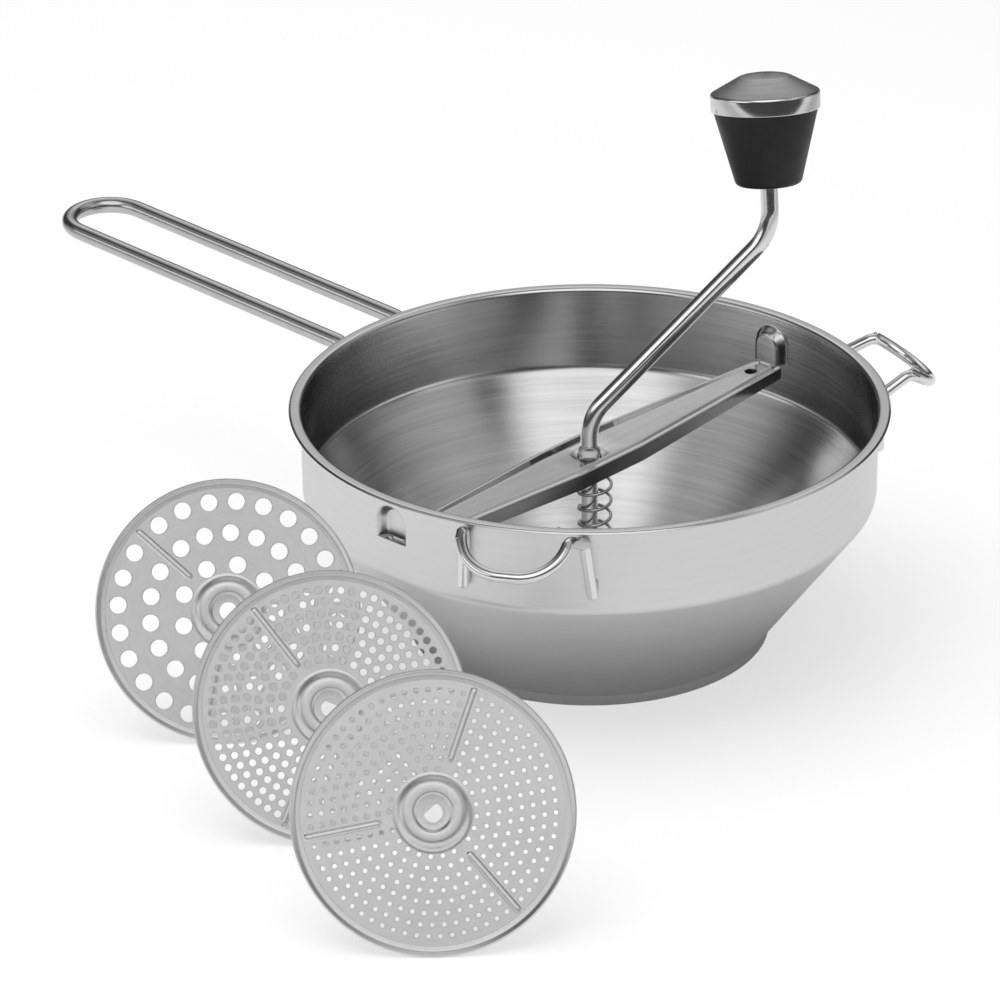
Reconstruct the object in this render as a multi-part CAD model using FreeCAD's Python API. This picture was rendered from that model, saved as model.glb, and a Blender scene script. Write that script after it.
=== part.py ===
"""Hand-cranked food mill with a wire handle, two hooks and three strainer discs.

Millimetres. +Z is up, the origin is the bowl's axis at the surface it stands on, and the handle
points along -X. Each sub-part is built where it belongs and written to its own STEP file.
"""
import FreeCAD, Part
import math
import os

# ---- Driving dimensions ----------------------------------------------------------------------

# Bowl, pressed from one sheet
BAND_RADIUS = 115.1           # outside of the upright band
LIP_WIDTH = 4.9               # how far the flat rim flange stands out from the band
NECK_RADIUS = 72.9            # outside of the foot that the bowl stands on
BOWL_HEIGHT = 98.1            # top of the rim flange
NECK_HEIGHT = 4.2             # upright part of the foot
BAND_HEIGHT = 35.9            # from the top of the rim flange to where the cone meets the band
BOWL_SHEET = 0.9
BAND_CORNER = 5.0             # bend radius between cone and band
NECK_CORNER = 1.5             # bend radius between foot and cone
LIP_CORNER = 1.3              # bend radius between band and rim flange

# Lugs pressed inwards from the band, which hold the bridge down
LUG_WIDTH = 16.0
LUG_HEIGHT = 15.0
LUG_DEPTH = 5.4               # how far the face stands in from the outside of the band
LUG_DROP = 19.5               # from the top of the rim flange to a lug's open lower side
CUT_MARGIN = 1.0              # how far a cutting shape runs past what it cuts

# Seat ring welded into the foot, which carries a strainer disc
SEAT_SHEET = 0.9
SEAT_LEDGE_WIDTH = 3.5        # how far the ledge reaches in under a disc
SEAT_FLOOR_OUTER = 7.2        # height of the ring's floor at the foot
SEAT_FLOOR_INNER = 6.0        # height of the ring's floor at the disc
SEAT_LEDGE = 3.0              # height of the ledge that the disc's rim rests on
SEAT_LIP = 1.4                # how far the edge of the opening turns down
SEAT_WALL_FOOT = 1.0          # height of the lower edge of the ring's outer wall
SEAT_WALL_BEND = 1.6          # bend radii of the ring's upper side, from the outside in
SEAT_STEP_BEND = 0.5
SEAT_LEDGE_BEND = 1.3
SEAT_LIP_BEND = 1.2
DISC_CLEARANCE = 0.6          # around the disc in its seat
WELD_GAP = 0.05               # between parts that are spot welded together
BEAD_GAP = 0.1                # between a weld bead and the band

# Long handle, one bent rod
HANDLE_ROD = 3.5              # radius of the rod
HANDLE_HALF_GAP = 17.2        # from the middle of the handle to a rod's centre line
HANDLE_REACH = 295.6          # from the bowl's axis to the end of the loop's centre line
HANDLE_DROP = 4.4             # from the top of the rim flange to the centre line at the band
HANDLE_RISE = 2.5             # degrees that the handle climbs outwards
HANDLE_LEG = 20.0             # length welded down the band, from the corner
HANDLE_BEND = 7.5             # bend radius of the centre line at the band
LOOP_SLACK = 0.01             # what is left straight between the two bends of the loop's end

# Two hooks that rest on the edge of a pot
HOOK_ROD = 2.3
HOOK_ANGLES = {"hook_front": 298.6, "hook_rear": 60.2}
HOOK_TOP_HALF_GAP = 22.2      # half the gap between a hook's legs at their top
HOOK_LEG_HALF_GAP = 23.0      # and at their lower ends
HOOK_LIP_GAP = 0.47           # between a climbing rod and the rim flange above it
HOOK_LEG = 23.0               # length welded down the band, from the corner
HOOK_CLIMB = 26.1             # degrees that the rods climb from the band to their peak
HOOK_PEAK_REACH = 9.83        # the highest point, out from the rim flange
HOOK_TIP_REACH = 24.13        # the end of the loop, out from the rim flange
HOOK_TIP_DROP = 9.7           # and below the peak
HOOK_LOOP_HALF_GAP = 19.2     # half the width of the loop at its peak
HOOK_LOOP_RADIUS = 17.5       # bend radius of the loop's end
HOOK_BEND = 4.5               # bend radius at the band
HOOK_PEAK_BEND = 6.0          # bend radius at the peak

# Weld beads between the rods and the band
BEAD_LENGTH = 6.0
BEAD_RISE = 1.0               # from a leg's lower end to its bead
BEAD_WIDTH = 3.0

# Bridge across the bowl, a pressed channel that turns under the lugs
BRIDGE_END_GAP = 1.2          # between the bridge's end and the band
BRIDGE_LUG_GAP = 0.3          # between the bridge's top and the lugs
BRIDGE_SHEET = 1.2
BRIDGE_MIDDLE = 18.0          # half length of the full-width middle
BRIDGE_HALF_WIDTH = 13.4      # at the middle
BRIDGE_END_HALF_WIDTH = 6.4   # at the ends
BRIDGE_RIDGE = 1.4            # from a ridge's crest to the outside of its skirt
BRIDGE_WEB_DEPTH = 2.7        # from a ridge's crest down to the web, at the middle
BRIDGE_END_WEB_DEPTH = 0.5
BRIDGE_SKIRT = 8.0            # from a ridge's crest to the edge of the skirt, at the middle
BRIDGE_END_SKIRT = 6.2
BRIDGE_END_HOLE = 2.7         # radius of the hole near each end
BRIDGE_END_HOLE_INSET = 12.0  # from the bridge's end to that hole's centre
DISH_RADIUS = 9.0             # round dish pressed into the middle of the web
DISH_FLOOR_RADIUS = 7.2
DISH_DEPTH = 4.0              # below the web
DISH_FOOT_BEND = 1.6
DISH_EDGE_BEND = 0.6

# Crank shaft and its bearing
SHAFT_RADIUS = 3.5
SHAFT_RUN = 0.06              # radial clearance of the shaft in its bush
BUSH_WALL = 1.1
BUSH_FLANGE = 5.5             # radius of the bush's flange
BUSH_FLANGE_THICKNESS = 0.7
BUSH_TAIL = 0.7               # how far the bush stands out under the dish
BUSH_EDGE = 0.2               # rounding of its edges
BUSH_FLANGE_EDGE = 0.3
CRANK_ANGLE = 41.5            # direction of the crank arm at rest, degrees from +X
CRANK_RADIUS = 71.0           # from the shaft to the upper bend's corner
CRANK_FOOT_RISE = 11.8        # from the ears' shoulders up to the lower bend's corner
CRANK_RISE = 79.5             # from the lower bend's corner up to the upper one's
CRANK_FOOT_BEND = 22.0        # bend radii of the centre line
CRANK_KNEE_BEND = 22.0
KNOB_LEAN = 3.0               # degrees that the knob's axis leans back towards the shaft
KNOB_TILT = 11.5              # degrees that it leans sideways, out of the arm's plane
EAR_HEIGHT = 4.6              # coined ears that rest on the bush
EAR_SHOULDER = 2.6            # how far their shoulders run up the rod
EAR_HALF_WIDTH = 4.7
EAR_THICKNESS = 4.2
EAR_GAP = 0.1                 # between the ears and the bush
EAR_EDGE = 0.2                # rounding of the ears at the bush
EAR_TIP_EDGE = 0.8
EAR_SHOULDER_EDGE = 0.6

# Foot of the shaft, which keys into a disc
FOOT_BOTTOM = 0.7
FOOT_HEIGHT = 1.4
FOOT_RADIUS = 3.0
FOOT_FLAT = 1.5               # from the axis to the foot's flat
FOOT_NECK_HEIGHT = 1.8
FOOT_NECK_RADIUS = 1.4

# Blade that presses food through the disc
BLADE_RING_GAP = 3.5          # around the blade, to the edge of the seat ring's opening
BLADE_DISC_GAP = 0.5          # between the blade and a disc in its seat
BLADE_SHEET = 1.2
BLADE_SLOPE = 21.0            # degrees that each wing climbs towards its leading edge
BLADE_WING_SPAN = 74.0        # degrees of arc that each wing covers
BLADE_CENTRE_RADIUS = 11.0    # flat middle of the blade
BLADE_EDGE_OVERLAP = 6.0      # degrees that each wing runs past its trailing line
HUB_RADIUS = 6.5
HUB_HEIGHT = 12.5
SHAFT_PRESS = 0.02            # radial clearance of what is pressed on the shaft
HUB_EDGE = 0.6                # rounding of the hub's upper edge
HUB_PIN_RADIUS = 1.25
HUB_PIN_HEIGHT = 6.0          # above the hub's lower face
PIN_PRESS = 0.02

# Spring and its two washers
SPRING_WIRE = 0.7
SPRING_TOP_RADIUS = 6.8       # centre line of the top coil
SPRING_PITCH = 6.3
SPRING_TAPER = 0.8            # degrees that the coils narrow downwards
SPRING_SEAT_GAP = 0.05
WASHER_RADIUS = 8.4
WASHER_THICKNESS = 0.8
WASHER_CLEARANCE = 0.3        # around the shaft
WASHER_RUN = 0.1              # between the lower washer and the hub that turns under it

# Knob
KNOB_FOOT_RADIUS = 12.8
KNOB_HEAD_RADIUS = 20.5
KNOB_GRIP_HEIGHT = 28.6
KNOB_FOOT_ROUND = 2.4
KNOB_BORE_EDGE = 0.6
KNOB_FOOT_INSET = 1.2         # how far the knob's sleeve stands in from its lower face
CAP_RADIUS = 21.4
CAP_SKIRT = 7.8
CAP_DOME = 7.5                # height of the dome above the skirt
CAP_CROWN_RADIUS = 9.5        # where the dome's cone meets its crown
CAP_CROWN = 1.0               # height of the crown
CAP_WALL = 1.0
CAP_CORNER = 1.4
CAP_CROWN_BEND = 3.0          # bend radius where the dome's cone meets its crown
CAP_FIT = 0.05
KNOB_PLUG_HEIGHT = 6.0        # how far the grip reaches into the cap
SPIGOT_RADIUS = 3.0           # thinned end of the crank rod, inside the knob
SPIGOT_RUN = 0.06
SLEEVE_WALL = 1.5
SLEEVE_FIT = 0.02
SPIGOT_SHOULDER_GAP = 0.3     # between the rod's shoulder and the sleeve
KNOB_RISE = 18.8              # from the upper bend's corner up to the knob's lower face
RETAINER_RADIUS = 6.6
RETAINER_THICKNESS = 1.4
RETAINER_GAP = 0.3            # between the sleeve and the retainer
RETAINER_POCKET = 9.0         # radius of the pocket that the retainer turns in
RIVET_HEAD_HEIGHT = 1.2       # peened end of the rod
RIVET_HEAD_RADIUS = 4.4
RIVET_EDGE = 0.7

# Strainer discs, one sheet each
DISC_RADIUS = 51.5
DISC_SHEET = 0.8
DISC_RIM_WIDTH = 1.9          # the turned-up rim, seen from the front
DISC_RIM_HEIGHT = 1.8
DISC_BOSS_FOOT = 13.2
DISC_BOSS_TOP = 11.0
DISC_BOSS_HEIGHT = 2.4
DISC_RECESS_TOP = 7.4
DISC_RECESS_RADIUS = 6.8
DISC_RECESS_FLOOR = 0.4       # height of the recess's floor above the disc's face
DISC_EYE_RADIUS = 3.4         # hole in the middle
DISC_EYE_FLAT = 1.7           # from the axis to the flat side of that hole
DISC_EYE_COLLAR = 0.6         # width and height of the collar around it
RIB_START = 18.6
RIB_RIM_GAP = 4.1             # from a rib's outer end to the disc's edge
RIB_HALF_WIDTH = 1.45
RIB_HEIGHT = 1.1
RIB_COUNT = 3
DISC_BEND = 1.0               # flat that the pressed shapes need beside them, and the rim's bend
DISC_COLLAR_BEND = 0.3        # bend radii of the hub's back, from the eye out
DISC_RECESS_BEND = 0.5
DISC_RECESS_EDGE = 0.4
DISC_BOSS_BEND = 1.2

# Holes. Each coarse ring: its place from the boss (0) to the rim (1), how many holes lie between
# two ribs, and the degrees from one hole to the next.
COARSE_HOLE = 3.27
COARSE_RINGS = ((0.8105, 8, 14.4), (0.4725, 6, 19.4), (0.1374, 3, 39.0))
MEDIUM_HOLE = 1.34
MEDIUM_FIRST_RING = 5.0       # from the boss's foot to the innermost ring
MEDIUM_RING_STEP = 4.3
FINE_HOLE = 0.84
FINE_FIRST_RING = 2.5
FINE_RING_STEP = 4.05
HOLE_PITCH = 4.15             # from hole to hole along a ring, medium and fine
RIB_MARGIN = 3.4              # from a rib's middle line to the nearest hole's centre
RIM_MARGIN = 3.5              # from the turned-up rim to the nearest hole's edge

# Where the loose discs stand: how far from the band and in which direction from the bowl's axis
# the disc's centre is, the direction that it faces, how far it leans back, and how far its ribs
# are turned
LOOSE_DISCS = {
    "strainer_disc_coarse": {
        "from_band": 46.46, "bearing": -108.74, "facing": -43.5, "lean": 26.9, "turn": 16.4},
    "strainer_disc_medium": {
        "from_band": 70.58, "bearing": -79.89, "facing": -44.9, "lean": 28.2, "turn": 126.5},
    "strainer_disc_fine": {
        "from_band": 128.06, "bearing": -61.80, "facing": -46.3, "lean": 29.5, "turn": 190.3},
}
LOOSE_DISC_LIFT = 0.15        # from the surface to a standing disc's rim

# ---- Values that follow ----------------------------------------------------------------------

TOP = FreeCAD.Vector(0, 0, 1)
ORIGIN = FreeCAD.Vector(0, 0, 0)
LIP_RADIUS = BAND_RADIUS + LIP_WIDTH
LIP_UNDERSIDE = BOWL_HEIGHT - BOWL_SHEET
BAND_BOTTOM = BOWL_HEIGHT - BAND_HEIGHT
BAND_INNER = BAND_RADIUS - BOWL_SHEET
LUG_BOTTOM = BOWL_HEIGHT - LUG_DROP
BRIDGE_LENGTH = 2 * (BAND_INNER - BRIDGE_END_GAP)
NECK_INNER = NECK_RADIUS - BOWL_SHEET
BRIDGE_TOP = LUG_BOTTOM - BRIDGE_LUG_GAP
WEB_TOP = BRIDGE_TOP - BRIDGE_WEB_DEPTH
DISH_FLOOR = WEB_TOP - DISH_DEPTH
DISH_UNDERSIDE = DISH_FLOOR - BRIDGE_SHEET
BUSH_TOP = DISH_FLOOR + BUSH_FLANGE_THICKNESS
BUSH_BOTTOM = DISH_UNDERSIDE - BUSH_TAIL
BUSH_BORE = SHAFT_RADIUS + SHAFT_RUN
BUSH_OUTER = BUSH_BORE + BUSH_WALL
UPPER_WASHER_BOTTOM = BUSH_BOTTOM - WASHER_THICKNESS
SEAT_RADIUS = DISC_RADIUS + DISC_CLEARANCE
SEAT_OPENING = DISC_RADIUS - SEAT_LEDGE_WIDTH
BLADE_RADIUS = SEAT_OPENING - BLADE_RING_GAP
BLADE_BOTTOM = SEAT_LEDGE + DISC_SHEET + BLADE_DISC_GAP
HUB_BOTTOM = BLADE_BOTTOM + BLADE_SHEET
HUB_TOP = HUB_BOTTOM + HUB_HEIGHT
LOWER_WASHER_BOTTOM = HUB_TOP + WASHER_RUN
LOWER_WASHER_TOP = LOWER_WASHER_BOTTOM + WASHER_THICKNESS
WASHER_BORE = SHAFT_RADIUS + WASHER_CLEARANCE
EAR_BOTTOM = BUSH_TOP + EAR_GAP
EAR_TOP = EAR_BOTTOM + EAR_HEIGHT
CRANK_FOOT_CORNER = EAR_TOP + EAR_SHOULDER + CRANK_FOOT_RISE
CRANK_KNEE_CORNER = CRANK_FOOT_CORNER + CRANK_RISE
KNOB_START = CRANK_KNEE_CORNER + KNOB_RISE
SLEEVE_BORE = SPIGOT_RADIUS + SPIGOT_RUN
SLEEVE_OUTER = SLEEVE_BORE + SLEEVE_WALL
GRIP_BORE = SLEEVE_OUTER + SLEEVE_FIT
GRIP_TOP = KNOB_GRIP_HEIGHT + KNOB_PLUG_HEIGHT
RETAINER_FLOOR = GRIP_TOP - RETAINER_THICKNESS - RIVET_HEAD_HEIGHT - RETAINER_GAP
HANDLE_HEIGHT = BOWL_HEIGHT - HANDLE_DROP
HANDLE_LEG_RADIUS = BAND_RADIUS + HANDLE_ROD + WELD_GAP
HOOK_LEG_RADIUS = BAND_RADIUS + HOOK_ROD + WELD_GAP
HOOK_LEG_OUT = math.sqrt(HOOK_LEG_RADIUS ** 2 - HOOK_TOP_HALF_GAP ** 2)
HOOK_LEG_TO_LIP = math.sqrt(LIP_RADIUS ** 2 - HOOK_TOP_HALF_GAP ** 2) - HOOK_LEG_OUT
HOOK_SLOPE = math.radians(HOOK_CLIMB)
HOOK_UNDER_LIP = HOOK_LIP_GAP + HOOK_ROD / math.cos(HOOK_SLOPE)
HOOK_TOP = LIP_UNDERSIDE - HOOK_UNDER_LIP - HOOK_LEG_TO_LIP * math.tan(HOOK_SLOPE)
RIM_START = DISC_RADIUS - DISC_RIM_WIDTH
PLATE_INNER = DISC_BOSS_FOOT + DISC_BEND
PLATE_OUTER = RIM_START - 2 * DISC_BEND
RIB_END = DISC_RADIUS - RIB_RIM_GAP


# ---- Helpers ---------------------------------------------------------------------------------

def vec(x, y, z):
    return FreeCAD.Vector(x, y, z)


def rounded_edges(points, radii, closed):
    """Straight runs through the points, with an arc of the given radius at each corner."""
    count = len(points)
    edges = []
    start = points[0]
    corners = range(count) if closed else range(1, count - 1)
    first_corner_start = None
    for index in corners:
        corner = points[index]
        before = (corner - points[index - 1]).normalize()
        after = (points[(index + 1) % count] - corner).normalize()
        turn = before.getAngle(after)
        radius = radii[index]
        if radius <= 0 or turn < 1e-6:
            arc_start, arc_end = corner, corner
            arc = None
        else:
            reach = radius * math.tan(turn / 2)
            arc_start = corner - before * reach
            arc_end = corner + after * reach
            inward = (after - before).normalize()
            middle = corner + inward * (math.hypot(radius, reach) - radius)
            arc = Part.Arc(arc_start, middle, arc_end).toShape()
        if closed and index == 0:
            first_corner_start = arc_start
        elif (arc_start - start).Length > 1e-7:
            edges.append(Part.LineSegment(start, arc_start).toShape())
        if arc is not None:
            edges.append(arc)
        start = arc_end
    last = first_corner_start if closed else points[-1]
    if (last - start).Length > 1e-7:
        edges.append(Part.LineSegment(start, last).toShape())
    return edges


def outline_face(points, radii):
    """A face from an outline of (radius, height) points with rounded corners."""
    corners = [vec(radius, 0, height) for radius, height in points]
    return Part.Face(Part.Wire(rounded_edges(corners, radii, True)))


def turned(points, radii):
    """A solid turned about the Z axis from an outline of (radius, height) points."""
    return outline_face(points, radii).revolve(ORIGIN, TOP, 360)


def offset_path(path, radii, distance):
    """The path moved to its left by the distance, with its corner radii to suit."""
    moved = []
    moved_radii = []
    for index, point in enumerate(path):
        before = path[max(index, 1) - 1]
        middle = path[max(index, 1)]
        ahead = path[min(index, len(path) - 2)]
        after = path[min(index, len(path) - 2) + 1]
        first = vec(middle[0] - before[0], middle[1] - before[1], 0).normalize()
        second = vec(after[0] - ahead[0], after[1] - ahead[1], 0).normalize()
        normal = vec(-first.y - second.y, first.x + second.x, 0).normalize()
        reach = distance / (normal.x * -first.y + normal.y * first.x)
        moved.append((point[0] + normal.x * reach, point[1] + normal.y * reach))
        side = first.x * second.y - first.y * second.x
        moved_radii.append(max(radii[index] - math.copysign(distance, side), 0.0) if radii[index] else 0.0)
    return moved, moved_radii


def turned_sheet(path, radii, sheet):
    """A sheet turned about Z: the path is one side of it, and the sheet lies to its left."""
    other, other_radii = offset_path(path, radii, sheet)
    return turned(path + other[::-1], radii + other_radii[::-1])


def bent_rod(points, radii, rod_radius):
    """A round rod along straight runs with an arc at each corner."""
    path = Part.Wire(rounded_edges(points, radii, False))
    direction = points[1] - points[0]
    section = Part.Wire(Part.makeCircle(rod_radius, points[0], direction))
    return path.makePipeShell([section], True, False)


def cylinder(radius, bottom, top):
    return Part.makeCylinder(radius, top - bottom, vec(0, 0, bottom))


def ring(inner, outer, bottom, top):
    return cylinder(outer, bottom, top).cut(cylinder(inner, bottom - 1, top + 1))


def block(x_low, x_high, y_low, y_high, z_low, z_high):
    return Part.makeBox(x_high - x_low, y_high - y_low, z_high - z_low, vec(x_low, y_low, z_low))


def about_z(shape, degrees):
    copy = shape.copy()
    copy.rotate(ORIGIN, TOP, degrees)
    return copy


def join(shapes):
    joined = shapes[0]
    if len(shapes) > 1:
        joined = shapes[0].multiFuse(shapes[1:])
    return joined.removeSplitter()


# ---- Bowl ------------------------------------------------------------------------------------

def lug_prism(inset, inner_face, outer_face):
    """The D shape of a lug on the +Y side, made smaller by the inset except at its open bottom."""
    half = LUG_WIDTH / 2 - inset
    shoulder = LUG_BOTTOM + LUG_HEIGHT - LUG_WIDTH / 2
    left = vec(-half, inner_face, LUG_BOTTOM)
    left_shoulder = vec(-half, inner_face, shoulder)
    crown = vec(0, inner_face, shoulder + half)
    right_shoulder = vec(half, inner_face, shoulder)
    right = vec(half, inner_face, LUG_BOTTOM)
    outline = Part.Wire([
        Part.LineSegment(left, left_shoulder).toShape(),
        Part.Arc(left_shoulder, crown, right_shoulder).toShape(),
        Part.LineSegment(right_shoulder, right).toShape(),
        Part.LineSegment(right, left).toShape(),
    ])
    return Part.Face(outline).extrude(vec(0, outer_face - inner_face, 0))


def bowl_shell():
    outside = [
        (NECK_RADIUS, 0.0),
        (NECK_RADIUS, NECK_HEIGHT),
        (BAND_RADIUS, BAND_BOTTOM),
        (BAND_RADIUS, LIP_UNDERSIDE),
        (LIP_RADIUS, LIP_UNDERSIDE),
    ]
    radii = [0.0, NECK_CORNER, BAND_CORNER + BOWL_SHEET, LIP_CORNER, 0.0]
    shell = turned_sheet(outside, radii, BOWL_SHEET)
    lug_face = BAND_RADIUS - LUG_DEPTH
    pocket = lug_prism(BOWL_SHEET, lug_face + BOWL_SHEET, BAND_RADIUS + CUT_MARGIN)
    lug = lug_prism(0.0, lug_face, BAND_RADIUS).common(cylinder(BAND_RADIUS - BOWL_SHEET / 2, 0, BOWL_HEIGHT))
    for degrees in (0, 180):
        shell = shell.cut(about_z(pocket, degrees))
        shell = shell.fuse(about_z(lug.cut(pocket), degrees))
    return shell.removeSplitter()


def seat_ring():
    wall = NECK_INNER - WELD_GAP
    topside = [
        (wall, SEAT_WALL_FOOT),
        (wall, SEAT_FLOOR_OUTER),
        (SEAT_RADIUS + SEAT_SHEET, SEAT_FLOOR_INNER),
        (SEAT_RADIUS, SEAT_LEDGE),
        (SEAT_OPENING, SEAT_LEDGE),
        (SEAT_OPENING, SEAT_LEDGE - SEAT_LIP - SEAT_SHEET),
    ]
    radii = [0.0, SEAT_WALL_BEND, SEAT_STEP_BEND, SEAT_LEDGE_BEND, SEAT_LIP_BEND, 0.0]
    return turned_sheet(topside, radii, SEAT_SHEET)


# ---- Handle and hooks ------------------------------------------------------------------------

def rod_on_band(points, radii, rod_radius):
    """A rod that comes back to the band: the points of one half, mirrored across its own middle."""
    back = [vec(point.x, -point.y, point.z) for point in reversed(points)]
    return bent_rod(points + back, radii + radii[::-1], rod_radius)


def handle_rod():
    leg_x = math.sqrt(HANDLE_LEG_RADIUS ** 2 - HANDLE_HALF_GAP ** 2)
    rise = math.tan(math.radians(HANDLE_RISE)) * (HANDLE_REACH - leg_x)
    points = [
        vec(-leg_x, -HANDLE_HALF_GAP, HANDLE_HEIGHT - HANDLE_LEG),
        vec(-leg_x, -HANDLE_HALF_GAP, HANDLE_HEIGHT),
        vec(-HANDLE_REACH, -HANDLE_HALF_GAP, HANDLE_HEIGHT + rise),
    ]
    loop_radius = HANDLE_HALF_GAP - LOOP_SLACK
    return rod_on_band(points, [0.0, HANDLE_BEND, loop_radius], HANDLE_ROD)


def hook_half():
    foot_x = math.sqrt(HOOK_LEG_RADIUS ** 2 - HOOK_LEG_HALF_GAP ** 2)
    peak_x = LIP_RADIUS + HOOK_PEAK_REACH
    peak = HOOK_TOP + (peak_x - HOOK_LEG_OUT) * math.tan(HOOK_SLOPE)
    return [
        vec(foot_x, -HOOK_LEG_HALF_GAP, HOOK_TOP - HOOK_LEG),
        vec(HOOK_LEG_OUT, -HOOK_TOP_HALF_GAP, HOOK_TOP),
        vec(peak_x, -HOOK_LOOP_HALF_GAP, peak),
        vec(LIP_RADIUS + HOOK_TIP_REACH, -HOOK_LOOP_HALF_GAP, peak - HOOK_TIP_DROP),
    ]


def hook_rod():
    return rod_on_band(hook_half(), [0.0, HOOK_BEND, HOOK_PEAK_BEND, HOOK_LOOP_RADIUS], HOOK_ROD)


def weld_beads(leg_radius, half_gap, height, band, rod):
    """Beads that fill the corner between a pair of legs and the band, clear of both."""
    beads = []
    angle = math.degrees(math.asin(half_gap / leg_radius))
    middle = (leg_radius + BAND_RADIUS) / 2
    for side in (-1, 1):
        bead = block(BAND_RADIUS - CUT_MARGIN, middle, -BEAD_WIDTH, BEAD_WIDTH, height, height + BEAD_LENGTH)
        bead = about_z(bead, side * angle)
        beads.append(bead.cut(band).cut(rod))
    return beads


def weld_group(angles, leg_radius, half_gap, height, rod):
    band = cylinder(BAND_RADIUS + BEAD_GAP, 0, BOWL_HEIGHT)
    beads = weld_beads(leg_radius, half_gap, height, band, rod)
    group = []
    for angle in angles:
        group.extend(about_z(bead, angle) for bead in beads)
    return Part.Compound([solid for bead in group for solid in bead.Solids])


# ---- Bridge ----------------------------------------------------------------------------------

def mix(low, high, share):
    return low + (high - low) * share


def bridge_profile(along):
    """Top and bottom outline points of the channel at a distance along it, left to right."""
    span = BRIDGE_LENGTH / 2 - BRIDGE_MIDDLE
    share = max(abs(along) - BRIDGE_MIDDLE, 0.0) / span
    half = mix(BRIDGE_HALF_WIDTH, BRIDGE_END_HALF_WIDTH, share)
    web = mix(BRIDGE_WEB_DEPTH, BRIDGE_END_WEB_DEPTH, share)
    skirt = mix(BRIDGE_SKIRT, BRIDGE_END_SKIRT, share)
    crest = half - BRIDGE_RIDGE
    wall_foot = crest - BRIDGE_RIDGE
    right = [
        (wall_foot, BRIDGE_TOP - web),
        (crest, BRIDGE_TOP),
        (half, BRIDGE_TOP - BRIDGE_RIDGE),
        (half, BRIDGE_TOP - skirt),
    ]
    top = [(-x, z) for x, z in reversed(right)] + right
    bottom, _ = offset_path(top, [0.0] * len(top), -BRIDGE_SHEET)
    return top, bottom


def bridge_bar():
    stations = (-BRIDGE_LENGTH / 2, -BRIDGE_MIDDLE, BRIDGE_MIDDLE, BRIDGE_LENGTH / 2)
    sections = []
    for along in stations:
        top, bottom = bridge_profile(along)
        outline = [vec(x, along, z) for x, z in top + bottom[::-1]]
        sections.append(Part.makePolygon(outline + outline[:1]))
    bar = Part.makeLoft(sections, True, True)
    hole_y = BRIDGE_LENGTH / 2 - BRIDGE_END_HOLE_INSET
    for side in (-1, 1):
        hole = cylinder(BRIDGE_END_HOLE, BRIDGE_TOP - BRIDGE_SKIRT, BRIDGE_TOP + CUT_MARGIN)
        hole.translate(vec(0, side * hole_y, 0))
        bar = bar.cut(hole)
    dish_path = [
        (BUSH_OUTER + SHAFT_PRESS, DISH_UNDERSIDE),
        (DISH_FLOOR_RADIUS, DISH_UNDERSIDE),
        (DISH_RADIUS, WEB_TOP - BRIDGE_SHEET),
        (DISH_RADIUS + BRIDGE_SHEET, WEB_TOP - BRIDGE_SHEET),
    ]
    dish = turned_sheet(dish_path, [0.0, DISH_FOOT_BEND, DISH_EDGE_BEND, 0.0], BRIDGE_SHEET)
    web_bottom = WEB_TOP - BRIDGE_SHEET
    bar = bar.cut(cylinder(DISH_RADIUS + BRIDGE_SHEET, web_bottom - CUT_MARGIN, WEB_TOP + CUT_MARGIN))
    return bar.fuse(dish).removeSplitter()


def bridge_bush():
    outline = [
        (BUSH_BORE, BUSH_BOTTOM),
        (BUSH_OUTER, BUSH_BOTTOM),
        (BUSH_OUTER, DISH_FLOOR),
        (BUSH_FLANGE, DISH_FLOOR),
        (BUSH_FLANGE, BUSH_TOP),
        (BUSH_BORE, BUSH_TOP),
    ]
    return turned(outline, [BUSH_EDGE, BUSH_EDGE, 0.0, 0.0, BUSH_FLANGE_EDGE, BUSH_EDGE])


def spring():
    """An open coil between the two washers, its ends cut flat where they seat."""
    top = UPPER_WASHER_BOTTOM - SPRING_SEAT_GAP
    bottom = LOWER_WASHER_TOP + SPRING_SEAT_GAP
    first = bottom - SPRING_WIRE
    length = top - bottom + 2 * SPRING_WIRE
    bottom_radius = SPRING_TOP_RADIUS - length * math.tan(math.radians(SPRING_TAPER))
    helix = Part.makeHelix(SPRING_PITCH, length, bottom_radius, SPRING_TAPER)
    start = helix.Edges[0].valueAt(helix.Edges[0].FirstParameter)
    tangent = helix.Edges[0].tangentAt(helix.Edges[0].FirstParameter)
    section = Part.Wire(Part.makeCircle(SPRING_WIRE, start, tangent))
    coil = Part.Wire(helix.Edges).makePipeShell([section], True, True)
    coil.translate(vec(0, 0, first))
    reach = 2 * SPRING_TOP_RADIUS
    return coil.common(block(-reach, reach, -reach, reach, bottom, top))


# ---- Crank -----------------------------------------------------------------------------------

def knob_frame():
    """Where the knob's own frame, with +Z along its axis, lies when the arm points along +X."""
    along = vec(-math.tan(math.radians(KNOB_LEAN)), math.tan(math.radians(KNOB_TILT)), 1)
    start = vec(CRANK_RADIUS, 0, CRANK_KNEE_CORNER) + along * KNOB_RISE
    return FreeCAD.Placement(start, FreeCAD.Rotation(TOP, along))


def on_arm(shape):
    return about_z(shape, CRANK_ANGLE)


def on_knob(shape):
    placed = shape.copy()
    placed.Placement = knob_frame().multiply(placed.Placement)
    return on_arm(placed)


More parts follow.
